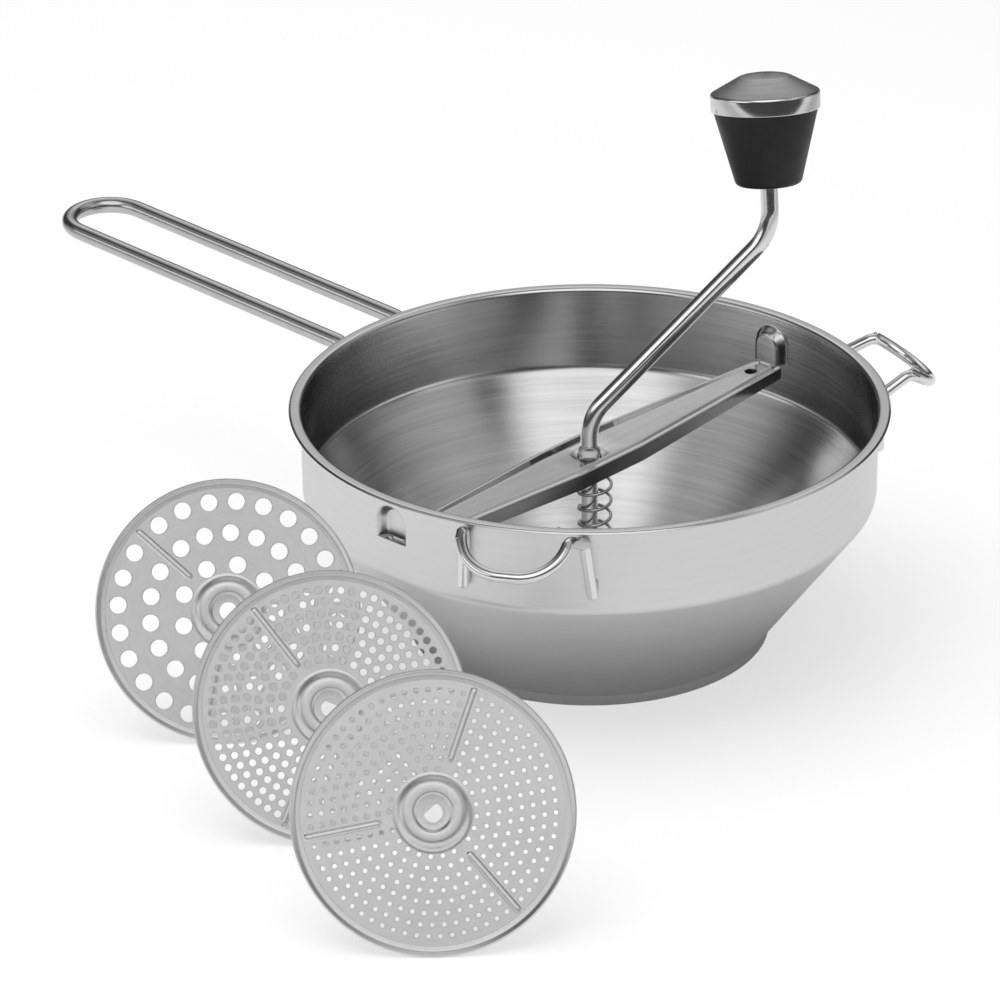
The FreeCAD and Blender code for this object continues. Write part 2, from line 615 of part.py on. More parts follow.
def crank_rod():
    foot_top = FOOT_BOTTOM + FOOT_HEIGHT
    neck_top = foot_top + FOOT_NECK_HEIGHT
    shoulder = knob_frame().multVec(vec(0, 0, KNOB_FOOT_INSET - SPIGOT_SHOULDER_GAP))
    points = [
        vec(0, 0, neck_top),
        vec(0, 0, CRANK_FOOT_CORNER),
        vec(CRANK_RADIUS, 0, CRANK_KNEE_CORNER),
        shoulder,
    ]
    rod = bent_rod(points, [0.0, CRANK_FOOT_BEND, CRANK_KNEE_BEND, 0.0], SHAFT_RADIUS)
    neck = cylinder(FOOT_NECK_RADIUS, foot_top, neck_top)
    foot = cylinder(FOOT_RADIUS, FOOT_BOTTOM, foot_top)
    foot = foot.cut(block(FOOT_FLAT, 2 * FOOT_RADIUS, -FOOT_RADIUS, FOOT_RADIUS, 0, neck_top))
    spigot_bottom = KNOB_FOOT_INSET - SPIGOT_SHOULDER_GAP
    rivet_bottom = RETAINER_FLOOR + RETAINER_THICKNESS
    spigot = cylinder(SPIGOT_RADIUS, spigot_bottom, rivet_bottom + RIVET_HEAD_HEIGHT)
    head = cylinder(RIVET_HEAD_RADIUS, rivet_bottom, rivet_bottom + RIVET_HEAD_HEIGHT)
    head = head.makeFillet(RIVET_EDGE, [head.Edges[0]])
    ends = [spigot, head]
    for end in ends:
        end.Placement = knob_frame().multiply(end.Placement)
    half = EAR_THICKNESS / 2
    ear_outline = [
        (-SHAFT_RADIUS, EAR_BOTTOM),
        (-EAR_HALF_WIDTH, EAR_TOP),
        (-SHAFT_RADIUS, EAR_TOP + EAR_SHOULDER),
        (SHAFT_RADIUS, EAR_TOP + EAR_SHOULDER),
        (EAR_HALF_WIDTH, EAR_TOP),
        (SHAFT_RADIUS, EAR_BOTTOM),
    ]
    half_radii = [EAR_EDGE, EAR_TIP_EDGE, EAR_SHOULDER_EDGE]
    ears = outline_face(ear_outline, half_radii + half_radii[::-1]).extrude(vec(0, EAR_THICKNESS, 0))
    ears.translate(vec(0, -half, 0))
    for side in (-1, 1):
        near, far = sorted((side * half, side * 2 * SHAFT_RADIUS))
        rod = rod.cut(block(-SHAFT_RADIUS, SHAFT_RADIUS, near, far, EAR_BOTTOM, EAR_TOP))
    rod = join([rod, neck, foot, ears] + ends)
    return on_arm(rod.cut(pin_hole(HUB_PIN_RADIUS + PIN_PRESS)))


def pin_hole(radius):
    """A cross hole through hub and shaft, along Y before the arm is turned."""
    height = HUB_BOTTOM + HUB_PIN_HEIGHT
    return Part.makeCylinder(radius, 2 * HUB_RADIUS, vec(0, -HUB_RADIUS, height), vec(0, 1, 0))


def hub_pin():
    rounding = Part.makeCylinder(HUB_RADIUS, BOWL_HEIGHT)
    return on_arm(pin_hole(HUB_PIN_RADIUS).common(rounding))


def blade_hub():
    outline = [
        (SHAFT_RADIUS + SHAFT_PRESS, HUB_BOTTOM),
        (HUB_RADIUS, HUB_BOTTOM),
        (HUB_RADIUS, HUB_TOP),
        (SHAFT_RADIUS + SHAFT_PRESS, HUB_TOP),
    ]
    hub = turned(outline, [0.0, 0.0, HUB_EDGE, 0.0])
    return on_arm(hub.cut(pin_hole(HUB_PIN_RADIUS + PIN_PRESS)))


def blade_wing():
    """One wing: a sector of a sloping plate, low along its trailing edge."""
    size = 3 * BLADE_RADIUS
    plate = block(-size, size, -size, size, 0, BLADE_SHEET)
    plate.rotate(ORIGIN, vec(1, 0, 0), -BLADE_SLOPE)
    plate.translate(vec(0, 0, BLADE_BOTTOM))
    sector = Part.makeCylinder(
        BLADE_RADIUS, BOWL_HEIGHT, vec(0, 0, BLADE_BOTTOM), TOP, BLADE_WING_SPAN + BLADE_EDGE_OVERLAP)
    sector = about_z(sector, -BLADE_WING_SPAN)
    return plate.common(sector)


def blade():
    wing = blade_wing()
    centre = cylinder(BLADE_CENTRE_RADIUS, BLADE_BOTTOM, HUB_BOTTOM)
    plate = join([centre, wing, about_z(wing, 180)])
    plate = plate.cut(cylinder(HUB_RADIUS + SHAFT_PRESS, HUB_BOTTOM, HUB_TOP + BOWL_HEIGHT))
    return on_arm(plate.cut(cylinder(SHAFT_RADIUS + SHAFT_PRESS, 0, HUB_TOP)))


# ---- Knob, built standing on Z and then placed on the crank ------------------------------------

def knob_grip():
    outline = [
        (GRIP_BORE, 0.0),
        (KNOB_FOOT_RADIUS, 0.0),
        (KNOB_HEAD_RADIUS, KNOB_GRIP_HEIGHT),
        (CAP_RADIUS - CAP_WALL - CAP_FIT, KNOB_GRIP_HEIGHT),
        (CAP_RADIUS - CAP_WALL - CAP_FIT, GRIP_TOP),
        (RETAINER_POCKET, GRIP_TOP),
        (RETAINER_POCKET, RETAINER_FLOOR - RETAINER_GAP),
        (GRIP_BORE, RETAINER_FLOOR - RETAINER_GAP),
    ]
    return on_knob(turned(outline, [KNOB_BORE_EDGE, KNOB_FOOT_ROUND, 0.0, 0.0, 0.0, 0.0, 0.0, 0.0]))


def knob_cap():
    skirt_top = KNOB_GRIP_HEIGHT + CAP_SKIRT
    crown_edge = skirt_top + CAP_DOME - CAP_CROWN
    apex = skirt_top + CAP_DOME
    crown_reach = (CAP_CROWN_RADIUS ** 2 + CAP_CROWN ** 2) / (2 * CAP_CROWN)
    crown_middle = (CAP_CROWN_RADIUS / 2, apex - crown_reach + math.sqrt(
        crown_reach ** 2 - (CAP_CROWN_RADIUS / 2) ** 2))
    outside = [
        (CAP_RADIUS, KNOB_GRIP_HEIGHT + CAP_FIT),
        (CAP_RADIUS, skirt_top),
        (CAP_CROWN_RADIUS, crown_edge),
        crown_middle,
        (0.0, apex),
    ]
    radii = [0.0, CAP_CORNER, CAP_CROWN_BEND, CAP_CROWN_BEND, 0.0]
    inside, inside_radii = offset_path(outside, radii, CAP_WALL)
    inside[-1] = (0.0, inside[-1][1])
    return on_knob(turned(outside + inside[::-1], radii + inside_radii[::-1]))


def knob_sleeve():
    return on_knob(ring(SLEEVE_BORE, SLEEVE_OUTER, KNOB_FOOT_INSET, RETAINER_FLOOR - RETAINER_GAP))


def knob_retainer():
    top = RETAINER_FLOOR + RETAINER_THICKNESS
    return on_knob(ring(SPIGOT_RADIUS + SHAFT_PRESS, RETAINER_RADIUS, RETAINER_FLOOR, top))


# ---- Strainer discs, built facing +Z and then stood up -----------------------------------------

def ring_holes(radius, count, step):
    """Angles of the holes on a ring: one row of holes in each space between two ribs."""
    space = 360.0 / RIB_COUNT
    angles = []
    for sector in range(RIB_COUNT):
        middle = sector * space + space / 2
        angles.extend(middle + (index - (count - 1) / 2) * step for index in range(count))
    return [(radius * math.cos(math.radians(a)), radius * math.sin(math.radians(a))) for a in angles]


def listed_pattern(rings):
    """Rings at their stated places between the boss's foot and the rim."""
    holes = []
    for share, count, step in rings:
        holes.extend(ring_holes(mix(DISC_BOSS_FOOT, RIM_START, share), count, step))
    return holes


def stepped_pattern(hole_radius, boss_gap, ring_step):
    """Rings a step apart as far as the rim, with as many holes as fit between the ribs."""
    holes = []
    first_ring = DISC_BOSS_FOOT + boss_gap
    ring_count = int((RIM_START - RIM_MARGIN - hole_radius - first_ring) / ring_step) + 1
    for ring_index in range(ring_count):
        radius = first_ring + ring_index * ring_step
        margin = 2 * math.degrees(math.asin(RIB_MARGIN / radius))
        room = 360.0 / RIB_COUNT - margin
        step = math.degrees(HOLE_PITCH / radius)
        count = int(room / step) + 1
        holes.extend(ring_holes(radius, count, room / (count - 1)))
    return holes


def rib_solid(half_width, height):
    """A radial rib with a round back, standing on the plane z = 0 and sunk a little into it."""
    drop = (half_width ** 2 - height ** 2) / (2 * height)
    radius = drop + height
    length = RIB_END - RIB_START - 2 * half_width
    bar = Part.makeCylinder(radius, length, vec(RIB_START + half_width, 0, -drop), vec(1, 0, 0))
    near = Part.makeSphere(radius, vec(RIB_START + half_width, 0, -drop))
    far = Part.makeSphere(radius, vec(RIB_END - half_width, 0, -drop))
    return bar.multiFuse([near, far])


def strainer_disc(hole_radius, holes):
    back = -DISC_SHEET
    hub_path = [
        (DISC_EYE_RADIUS, DISC_RECESS_FLOOR + DISC_EYE_COLLAR),
        (DISC_EYE_RADIUS, back + DISC_RECESS_FLOOR),
        (DISC_RECESS_RADIUS + DISC_SHEET / 2, back + DISC_RECESS_FLOOR),
        (DISC_RECESS_TOP + DISC_SHEET / 2, back + DISC_BOSS_HEIGHT),
        (DISC_BOSS_TOP, back + DISC_BOSS_HEIGHT),
        (DISC_BOSS_FOOT, back),
        (PLATE_INNER, back),
    ]
    hub_radii = [0.0, DISC_COLLAR_BEND, DISC_RECESS_BEND, DISC_RECESS_EDGE, DISC_BOSS_BEND, DISC_BOSS_BEND, 0.0]
    hub = turned_sheet(hub_path, hub_radii, DISC_SHEET)
    rim_path = [
        (PLATE_OUTER, back),
        (RIM_START + DISC_SHEET / 2, back),
        (DISC_RADIUS, DISC_RIM_HEIGHT - DISC_SHEET / 2),
    ]
    rim = turned_sheet(rim_path, [0.0, DISC_BEND + DISC_SHEET, 0.0], DISC_SHEET)
    outer = Part.Wire(Part.makeCircle(PLATE_OUTER, vec(0, 0, back)))
    inner = Part.Wire(Part.makeCircle(PLATE_INNER, vec(0, 0, back)))
    punched = [Part.Wire(Part.makeCircle(hole_radius, vec(x, y, back))) for x, y in holes]
    face = Part.makeFace([outer, inner] + punched, "Part::FaceMakerBullseye")
    plate = face.extrude(vec(0, 0, DISC_SHEET))
    disc = plate.multiFuse([hub, rim])
    raised = rib_solid(RIB_HALF_WIDTH, RIB_HEIGHT).common(
        cylinder(DISC_RADIUS, back / 2, DISC_BOSS_HEIGHT))
    groove = rib_solid(RIB_HALF_WIDTH - DISC_SHEET / 2, RIB_HEIGHT - DISC_SHEET / 2)
    groove.translate(vec(0, 0, back))
    groove = groove.common(cylinder(DISC_RADIUS, 3 * back, DISC_BOSS_HEIGHT))
    for index in range(RIB_COUNT):
        disc = disc.fuse(about_z(raised, index * 360.0 / RIB_COUNT))
    for index in range(RIB_COUNT):
        disc = disc.cut(about_z(groove, index * 360.0 / RIB_COUNT))
    flat = cylinder(DISC_EYE_RADIUS + DISC_SHEET / 2, back + DISC_RECESS_FLOOR, DISC_RECESS_FLOOR)
    flat = flat.common(block(DISC_EYE_FLAT, DISC_RADIUS, -DISC_RADIUS, DISC_RADIUS, back, DISC_BOSS_HEIGHT))
    return disc.fuse(about_z(flat, -180.0 / RIB_COUNT)).removeSplitter()


def stand_up(disc, place):
    """Turn a disc that faces +Z so that it faces sideways, leans back and stands on its rim."""
    upright = disc.copy()
    upright.rotate(ORIGIN, TOP, place["turn"])
    upright.rotate(ORIGIN, vec(1, 0, 0), 90 - place["lean"])
    upright.rotate(ORIGIN, TOP, place["facing"] + 90)
    lean = math.radians(place["lean"])
    rim_height = DISC_RIM_HEIGHT - DISC_SHEET / 2
    centre = DISC_RADIUS * math.cos(lean) - rim_height * math.sin(lean) + LOOSE_DISC_LIFT
    bearing = math.radians(place["bearing"])
    out = BAND_RADIUS + place["from_band"]
    upright.translate(vec(out * math.cos(bearing), out * math.sin(bearing), centre))
    return upright


def loose_discs():
    patterns = {
        "strainer_disc_coarse": (COARSE_HOLE, listed_pattern(COARSE_RINGS)),
        "strainer_disc_medium": (
            MEDIUM_HOLE, stepped_pattern(MEDIUM_HOLE, MEDIUM_FIRST_RING, MEDIUM_RING_STEP)),
        "strainer_disc_fine": (
            FINE_HOLE, stepped_pattern(FINE_HOLE, FINE_FIRST_RING, FINE_RING_STEP)),
    }
    return {
        name: stand_up(strainer_disc(hole_radius, holes), LOOSE_DISCS[name])
        for name, (hole_radius, holes) in patterns.items()
    }


# ---- Assembly --------------------------------------------------------------------------------

def assembly():
    handle = handle_rod()
    hook = hook_rod()
    handle_bead_height = HANDLE_HEIGHT - HANDLE_LEG + BEAD_RISE
    hook_bead_height = HOOK_TOP - HOOK_LEG + BEAD_RISE
    pieces = {
        "bowl_shell": bowl_shell(),
        "seat_ring": seat_ring(),
        "handle_rod": handle,
        "handle_welds": weld_group(
            (180,), HANDLE_LEG_RADIUS, HANDLE_HALF_GAP, handle_bead_height, about_z(handle, 180)),
        "hook_welds": weld_group(
            HOOK_ANGLES.values(), HOOK_LEG_RADIUS, HOOK_LEG_HALF_GAP, hook_bead_height, hook),
        "bridge_bar": bridge_bar(),
        "bridge_bush": bridge_bush(),
        "upper_spring_washer": ring(WASHER_BORE, WASHER_RADIUS, UPPER_WASHER_BOTTOM, BUSH_BOTTOM),
        "spring": spring(),
        "lower_spring_washer": ring(WASHER_BORE, WASHER_RADIUS, LOWER_WASHER_BOTTOM, LOWER_WASHER_TOP),
        "crank_rod": crank_rod(),
        "blade_hub": blade_hub(),
        "blade": blade(),
        "hub_pin": hub_pin(),
        "knob_grip": knob_grip(),
        "knob_cap": knob_cap(),
        "knob_sleeve": knob_sleeve(),
        "knob_retainer": knob_retainer(),
    }
    for name, angle in HOOK_ANGLES.items():
        pieces[name] = about_z(hook, angle)
    pieces.update(loose_discs())
    return pieces


def main():
    os.makedirs("parts", exist_ok=True)
    for name, shape in assembly().items():
        shape.exportStep(os.path.join("parts", name + ".step"))
        print(name, "solids", len(shape.Solids), "valid", shape.isValid(), "volume", round(shape.Volume, 1))


main()
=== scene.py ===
import math

import bmesh
import bpy
from mathutils import Matrix, Vector
from mathutils.geometry import delaunay_2d_cdt
from mathutils.noise import noise


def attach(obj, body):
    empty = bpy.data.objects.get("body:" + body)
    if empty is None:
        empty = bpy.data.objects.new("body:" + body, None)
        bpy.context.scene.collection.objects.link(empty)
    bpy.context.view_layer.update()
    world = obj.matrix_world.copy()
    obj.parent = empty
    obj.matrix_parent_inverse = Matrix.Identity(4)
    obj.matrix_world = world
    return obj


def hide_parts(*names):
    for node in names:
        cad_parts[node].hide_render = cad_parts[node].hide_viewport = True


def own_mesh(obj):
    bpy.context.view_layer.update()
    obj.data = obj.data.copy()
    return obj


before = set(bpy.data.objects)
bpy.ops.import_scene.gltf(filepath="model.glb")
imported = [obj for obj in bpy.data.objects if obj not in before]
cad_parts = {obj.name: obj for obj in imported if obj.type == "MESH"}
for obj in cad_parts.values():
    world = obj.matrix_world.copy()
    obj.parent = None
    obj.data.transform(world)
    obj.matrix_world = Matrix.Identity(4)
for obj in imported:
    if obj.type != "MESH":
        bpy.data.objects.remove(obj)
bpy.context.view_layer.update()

# Sizes are in millimetres and angles in degrees. MM turns them into the scene's metres.
MM = 0.001
UP = Vector((0, 0, 1))

# ---- Bowl ------------------------------------------------------------------------------------
LIP_RADIUS = 119.4
BAND_RADIUS = 115.1
NECK_RADIUS = 72.9
BOWL_HEIGHT = 98.5
NECK_HEIGHT = 4.2
BAND_BOTTOM = 62.2
BOWL_SHEET = 0.6                # drawn thin
NECK_BEND = 1.5
BAND_BEND = 5.9
LIP_BEND = 1.3
LIP_ROLL = 0.5                  # how far the lip's edge is rolled down
LUG_WIDTH = 16.0
LUG_HEIGHT = 15.0
LUG_DEPTH = 4.2
LUG_BOTTOM = 78.6
LUG_WALL = 3.2                  # width of the lug's drawn wall
LUG_ROOM = 1.0                  # how far over and under a lug the close rows reach
LUG_ROW = 0.45                  # from row to row beside a lug
LUG_SIDE_ROOM = 1.5
LUG_COLUMNS = 42
WALL_COLUMNS = 120              # from one lug to the other
WALL_ROW = 6.0
BAND_ROW = 1.2
SEAT_RADIUS = 52.1
SEAT_SHEET = 0.9
SEAT_WALL_FOOT = 1.0
SEAT_FLOOR_OUTER = 7.2
SEAT_FLOOR_INNER = 6.0
SEAT_LEDGE = 3.0
SEAT_OPENING = 48.0
SEAT_LIP_FOOT = 0.7
SEAT_BENDS = [0.0, 1.6, 0.5, 1.3, 1.2, 0.0]

# ---- Rods ------------------------------------------------------------------------------------
HANDLE_ROD = 3.5
HANDLE_HALF_GAP = 17.2
HANDLE_REACH = 295.6
HANDLE_HEIGHT = 93.7
HANDLE_RISE = 2.5
HANDLE_LEG = 20.0
HANDLE_BEND = 7.5
HOOK_ROD = 2.3
HOOK_ANGLES = {"hook_front": 298.6, "hook_rear": 60.2}
HOOK_TOP_HALF_GAP = 22.2
HOOK_LEG_HALF_GAP = 23.0
HOOK_TOP = 92.9
HOOK_LEG = 23.0
HOOK_PEAK_OUT = 14.5
HOOK_PEAK_RISE = 7.1
HOOK_TIP_OUT = 28.8
HOOK_TIP_DROP = 2.6
HOOK_LOOP_HALF_GAP = 19.2
HOOK_LOOP_RADIUS = 17.5
HOOK_FRONT_SPREAD = 2.3         # the front hook's right half stands this much wider
HOOK_FRONT_SLANT = 2.2          # and its foot this much wider still
HOOK_BEND = 4.5
HOOK_PEAK_BEND = 6.0
WELD_GAP = 0.05
BEAD_LENGTH = 6.0
BEAD_START = 1.0                # from a leg's foot to its bead
BEAD_OUT = 0.35                 # from the band to the bead's middle line
BEAD_ASIDE = 0.72               # from the leg's axis to that line, as a share of the rod's radius
BEAD_HALF_DEPTH = 0.45
BEAD_HALF_WIDTH = 0.8
BEAD_RIPPLE = 0.12
BEAD_RIPPLE_TURN = 34           # radians of ripple along a bead
BEAD_SLANT_SHARE = 0.85         # how much of a slanting leg's slant is reached at its bead

# ---- Bridge, shaft and spring ----------------------------------------------------------------
BRIDGE_LENGTH = 226.0
BRIDGE_TOP = 78.3
BRIDGE_SHEET = 1.2
BRIDGE_FORM_SHEET = 0.8         # drawn thinner round the tight bends
BRIDGE_MIDDLE = 18.0
BRIDGE_HALF_WIDTH = 13.4
BRIDGE_END_HALF_WIDTH = 6.4
BRIDGE_CREST = 1.0              # flat top of each ridge
BRIDGE_RIDGE_SLOPE = 0.8        # width of the slope on each side of it
BRIDGE_LEDGE = 1.5              # from the ridge's foot to the skirt
BRIDGE_LEDGE_DROP = 1.1
BRIDGE_WEB_DEPTH = 2.7
BRIDGE_END_WEB_DEPTH = 0.5
BRIDGE_SKIRT = 8.0
BRIDGE_END_SKIRT = 6.2
BRIDGE_END_HOLE = 2.7
BRIDGE_END_HOLE_INSET = 12.0
DISH_RADIUS = 8.5
DISH_DEPTH = 4.0
DISH_SLOPE_DEPTH = 1.0          # of which this much is its wide slope, and the rest a narrow well
WELL_RADIUS = 5.2
WELL_FLOOR_RADIUS = 4.9
DISH_RINGS = (4.9, 5.0, 5.1, 5.2, 6.2, 7.0, 7.8, 8.5)
BRIDGE_FOOT_BEND = 0.6
BRIDGE_CREST_BEND = 0.4
BRIDGE_EDGE_BEND = 0.8
SHAFT_RADIUS = 3.5
BUSH_BORE = 3.56
BUSH_OUTER = 4.66
BUSH_FLANGE = 4.85
BUSH_TAIL = 0.7                 # how far the bush stands out over and under the dish
WASHER_GAP = 0.1                # from the hub to the lower washer
WASHER_BORE = 3.8
WASHER_RADIUS = 8.4
WASHER_THICKNESS = 0.8
SPRING_WIRE = 0.7
SPRING_TOP_RADIUS = 6.8
SPRING_TAPER = 0.8
SPRING_PITCH = 6.9
SPRING_SEAT_GAP = 0.05
SPRING_ASIDE = 2.1              # the loose spring leans on one side of the shaft

# ---- Crank -----------------------------------------------------------------------------------
CRANK_ANGLE = 41.5
CRANK_RADIUS = 71.0
CRANK_FOOT_CORNER = 91.4
CRANK_KNEE_CORNER = 170.9
CRANK_FOOT_BEND = 22.0
CRANK_KNEE_BEND = 22.0
KNOB_LEAN = 3.0
KNOB_TILT = 11.5
KNOB_START = 189.7
SHOULDER_IN_KNOB = 0.9          # how far the rod's full thickness reaches into the knob
EAR_BOTTOM = 72.4
EAR_HEIGHT = 4.6
EAR_SHOULDER = 2.6
EAR_HALF_WIDTH = 4.7
EAR_HALF_THICKNESS = 2.1
EAR_SQUARENESS = 3.2
EAR_LEAD = 0.8                  # from the last plain section to the first of the ears
EAR_STEP = 0.3                  # from section to section along the ears
FOOT_BOTTOM = 0.7
FOOT_HEIGHT = 1.4
FOOT_RADIUS = 3.0
FOOT_NECK_HEIGHT = 1.8
FOOT_NECK_RADIUS = 1.4
FOOT_EDGE = 0.2                 # bevels of the foot's upper and lower edges
FOOT_LOWER_EDGE = 0.3
BLADE_RADIUS = 44.5
BLADE_BOTTOM = 4.3
BLADE_SHEET = 1.2
BLADE_SLOPE = 21.0
BLADE_WING_SPAN = 74.0
BLADE_WING_LEAD = 6.0           # degrees that a wing reaches past the blade's middle line
BLADE_TIP_EDGE = 0.25
BLADE_CENTRE_RADIUS = 11.0
HUB_RADIUS = 6.5
HUB_BOTTOM = 5.5
HUB_TOP = 18.0
ROUND_GAP = 0.02                # between a round piece and what is drawn round it

# ---- Knob, in its own frame with +Z along its axis -------------------------------------------
KNOB_FOOT_RADIUS = 12.8
KNOB_HEAD_RADIUS = 20.5
KNOB_GRIP_HEIGHT = 29.7
GRIP_BORE = 4.58
CAP_RADIUS = 21.4
CAP_SKIRT = 6.7
CAP_DOME = 7.5
CAP_CROWN_RADIUS = 9.5
CAP_WALL = 1.0
CAP_BEND = 1.4
CAP_EDGE_BEND = 0.35
CAP_INNER_SHARE = 0.955         # of the cap's radius, under its crown
CAP_CROWN_DROP = 1.0            # from the dome's top to its crown circle
CAP_CROWN_BEND = 6.0
CAP_SEAT_GAP = 0.05             # between the grip and the cap
CROWN_STEPS = 8
PLUG_HEIGHT = 6.0               # of the grip inside the cap
PLUG_WELL_RADIUS = 9.0
PLUG_WELL_DEPTH = 3.2

# ---- Strainer discs, in their own frame with +Z out of the face ------------------------------
DISC_RADIUS = 51.5
DISC_SHEET = 0.8
DISC_RIM_WIDTH = 1.9
DISC_RIM_HEIGHT = 1.8
DISC_BOSS_FOOT = 13.2
DISC_BOSS_TOP = 11.0
DISC_BOSS_HEIGHT = 2.4
DISC_RECESS_TOP = 6.8
DISC_RECESS_RADIUS = 6.3
DISC_RECESS_FLOOR = 0.4
DISC_EYE_RADIUS = 3.4
DISC_EYE_FLAT = 1.7
DISC_EYE_COLLAR = 0.6
EYE_OVERLAP = 0.2               # how far the eye's flat segment reaches into the sheet
RIB_START = 18.6
RIB_END = 47.4
RIB_HALF_WIDTH = 1.45
RIB_HEIGHT = 1.4
RIB_COUNT = 3
DISC_FLAT = 1.0                 # from the boss's foot to the sheet with the holes
DISC_RIM_FLAT = 2.0             # and from that sheet to the turned-up rim
DISC_HUB_BENDS = [0.0, 0.3, 0.9, 0.8, 2.6, 3.2, 0.0]
DISC_RIM_BEND = 1.8
# Each disc's holes: their radius, how many sides each is drawn with, and the width of its lip
HOLES = {"coarse": (3.27, 36, 0.22), "medium": (1.34, 18, 0.17), "fine": (0.84, 14, 0.15)}
# Each coarse ring: its radius, its holes between two ribs, and the degrees from hole to hole
COARSE_RINGS = ((42.7, 8, 14.4), (30.4, 6, 19.4), (18.2, 3, 39.0))
# The other discs' rings: the innermost one's radius, the step outwards, and how many there are
CLOSE_RINGS = {"medium": (18.2, 4.3, 7), "fine": (15.7, 4.05, 8)}
HOLE_PITCH = 4.15
HOLE_LIP_HEIGHT = 0.7           # as a share of the lip's width
RIB_MARGIN = 3.4
DISC_LIFT = 0.15

# ---- Camera and studio -----------------------------------------------------------------------
CAMERA_PLACE = (1116.2, -1261.6, 864.3)
CAMERA_HEADING = 41.5           # degrees from +Y towards -X
CAMERA_DROP = 25.67             # degrees that the view points below the horizon
CAMERA_ASIDE = 1.104            # degrees that it is then turned to its own left
CAMERA_LENS = 167.15            # on the 36 mm wide film


def radians(degrees):
    return math.radians(degrees)


def about_z(degrees):
    return Matrix.Rotation(radians(degrees), 4, "Z")


def mix(low, high, share):
    return low + (high - low) * share


def ease(share):
    share = min(max(share, 0.0), 1.0)
    return share * share * (3 - 2 * share)


# ---- Material building blocks ----------------------------------------------------------------

def add_node(tree, kind, inputs=None, **settings):
    """A node with its settings, and with its inputs linked to a socket or set to a value."""
    node = tree.nodes.new(kind)
    for name, value in settings.items():
        setattr(node, name, value)
    for key, source in (inputs or {}).items():
        feed(tree, node.inputs[key], source)
    return node


def feed(tree, socket, source):
    """Links a socket to another one, or sets it to a plain value."""
    if isinstance(source, bpy.types.NodeSocket):
        tree.links.new(source, socket)
    else:
        socket.default_value = source


def math_node(tree, operation, *sources):
    inputs = dict(enumerate(sources))
    return add_node(tree, "ShaderNodeMath", inputs, operation=operation).outputs[0]


def plus(tree, first, second):
    return math_node(tree, "ADD", first, second)


def times(tree, first, second):
    return math_node(tree, "MULTIPLY", first, second)


def vector_math(tree, operation, *sources):
    node = add_node(tree, "ShaderNodeVectorMath", dict(enumerate(sources)), operation=operation)
    return node.outputs["Value" if operation in ("LENGTH", "DOT_PRODUCT") else "Vector"]


def noise_node(tree, vector, scale, detail=2.0, roughness=0.5, w=None):
    inputs = {"Vector": vector, "Scale": scale, "Detail": detail, "Roughness": roughness}
    if w is not None:
        inputs["W"] = w
    dimensions = "3D" if w is None else "4D"
    return add_node(tree, "ShaderNodeTexNoise", inputs, noise_dimensions=dimensions).outputs["Fac"]


def map_range(tree, *sources, **settings):
    """From the value, low, high, new low and new high."""
    return add_node(tree, "ShaderNodeMapRange", dict(enumerate(sources)), **settings).outputs[0]


def shader_group(name, inputs, outputs):
    group = bpy.data.node_groups.new(name, "ShaderNodeTree")
    for socket_name, kind in inputs:
        group.interface.new_socket(socket_name, in_out="INPUT", socket_type=kind)
    for socket_name in outputs:
        group.interface.new_socket(socket_name, in_out="OUTPUT", socket_type="NodeSocketFloat")
    given = group.nodes.new("NodeGroupInput")
    result = group.nodes.new("NodeGroupOutput")
    return group, given.outputs, result.inputs


BROAD_LINES = 0.13              # how many broad tone lines there are for each fine one


def round_brushing_group():
    """Fine lines that run round the Z axis, as a turned or spun sheet has."""
    kinds = {"Vector": "NodeSocketVector", "Lines": "NodeSocketFloat", "Sweep": "NodeSocketFloat"}
    group, given, result = shader_group("round_brushing", kinds.items(), ["Height", "Tone"])
    x, y, z = add_node(group, "ShaderNodeSeparateXYZ", {0: given["Vector"]}).outputs
    squared = plus(group, times(group, x, x), times(group, y, y))
    radius = math_node(group, "MAXIMUM", math_node(group, "SQRT", squared), 1e-5)
    around = add_node(group, "ShaderNodeCombineXYZ", {
        0: times(group, math_node(group, "DIVIDE", x, radius), given["Sweep"]),
        1: times(group, math_node(group, "DIVIDE", y, radius), given["Sweep"]),
        2: times(group, z, given["Lines"])}).outputs[0]
    across = times(group, radius, given["Lines"])
    feed(group, result["Height"], noise_node(group, around, 1.0, 3.0, 0.7, across))
    broad = vector_math(group, "MULTIPLY", around, (1.0, 1.0, BROAD_LINES))
    wide = times(group, across, BROAD_LINES)
    feed(group, result["Tone"], noise_node(group, broad, 1.0, 2.0, 0.6, wide))
    return group


def straight_grain_group():
    """Fine lines along one direction, set by how much each axis is stretched."""
    kinds = {"Vector": "NodeSocketVector", "Stretch": "NodeSocketVector"}
    group, given, result = shader_group("straight_grain", kinds.items(), ["Height", "Tone"])
    stretched = vector_math(group, "MULTIPLY", given["Vector"], given["Stretch"])
    feed(group, result["Height"], noise_node(group, stretched, 1.0, 3.0, 0.65))
    feed(group, result["Tone"], noise_node(group, stretched, 0.21, 2.0, 0.5))
    return group


def handling_group():
    """Faint smears and specks left by hands and cloths."""
    kinds = {"Vector": "NodeSocketVector", "Smear Size": "NodeSocketFloat"}
    group, given, result = shader_group("handling_marks", kinds.items(), ["Smears", "Specks"])
    broad = noise_node(group, given["Vector"], given["Smear Size"], 4.0, 0.6)
    feed(group, result["Smears"], map_range(group, broad, 0.45, 0.7, 0.0, 1.0))
    dots = noise_node(group, given["Vector"], 900.0, 1.0, 0.4)
    feed(group, result["Specks"], map_range(group, dots, 0.7, 0.78, 0.0, 1.0))
    return group


GROUPS = {
    "round": round_brushing_group(),
    "straight": straight_grain_group(),
    "handling": handling_group(),
}


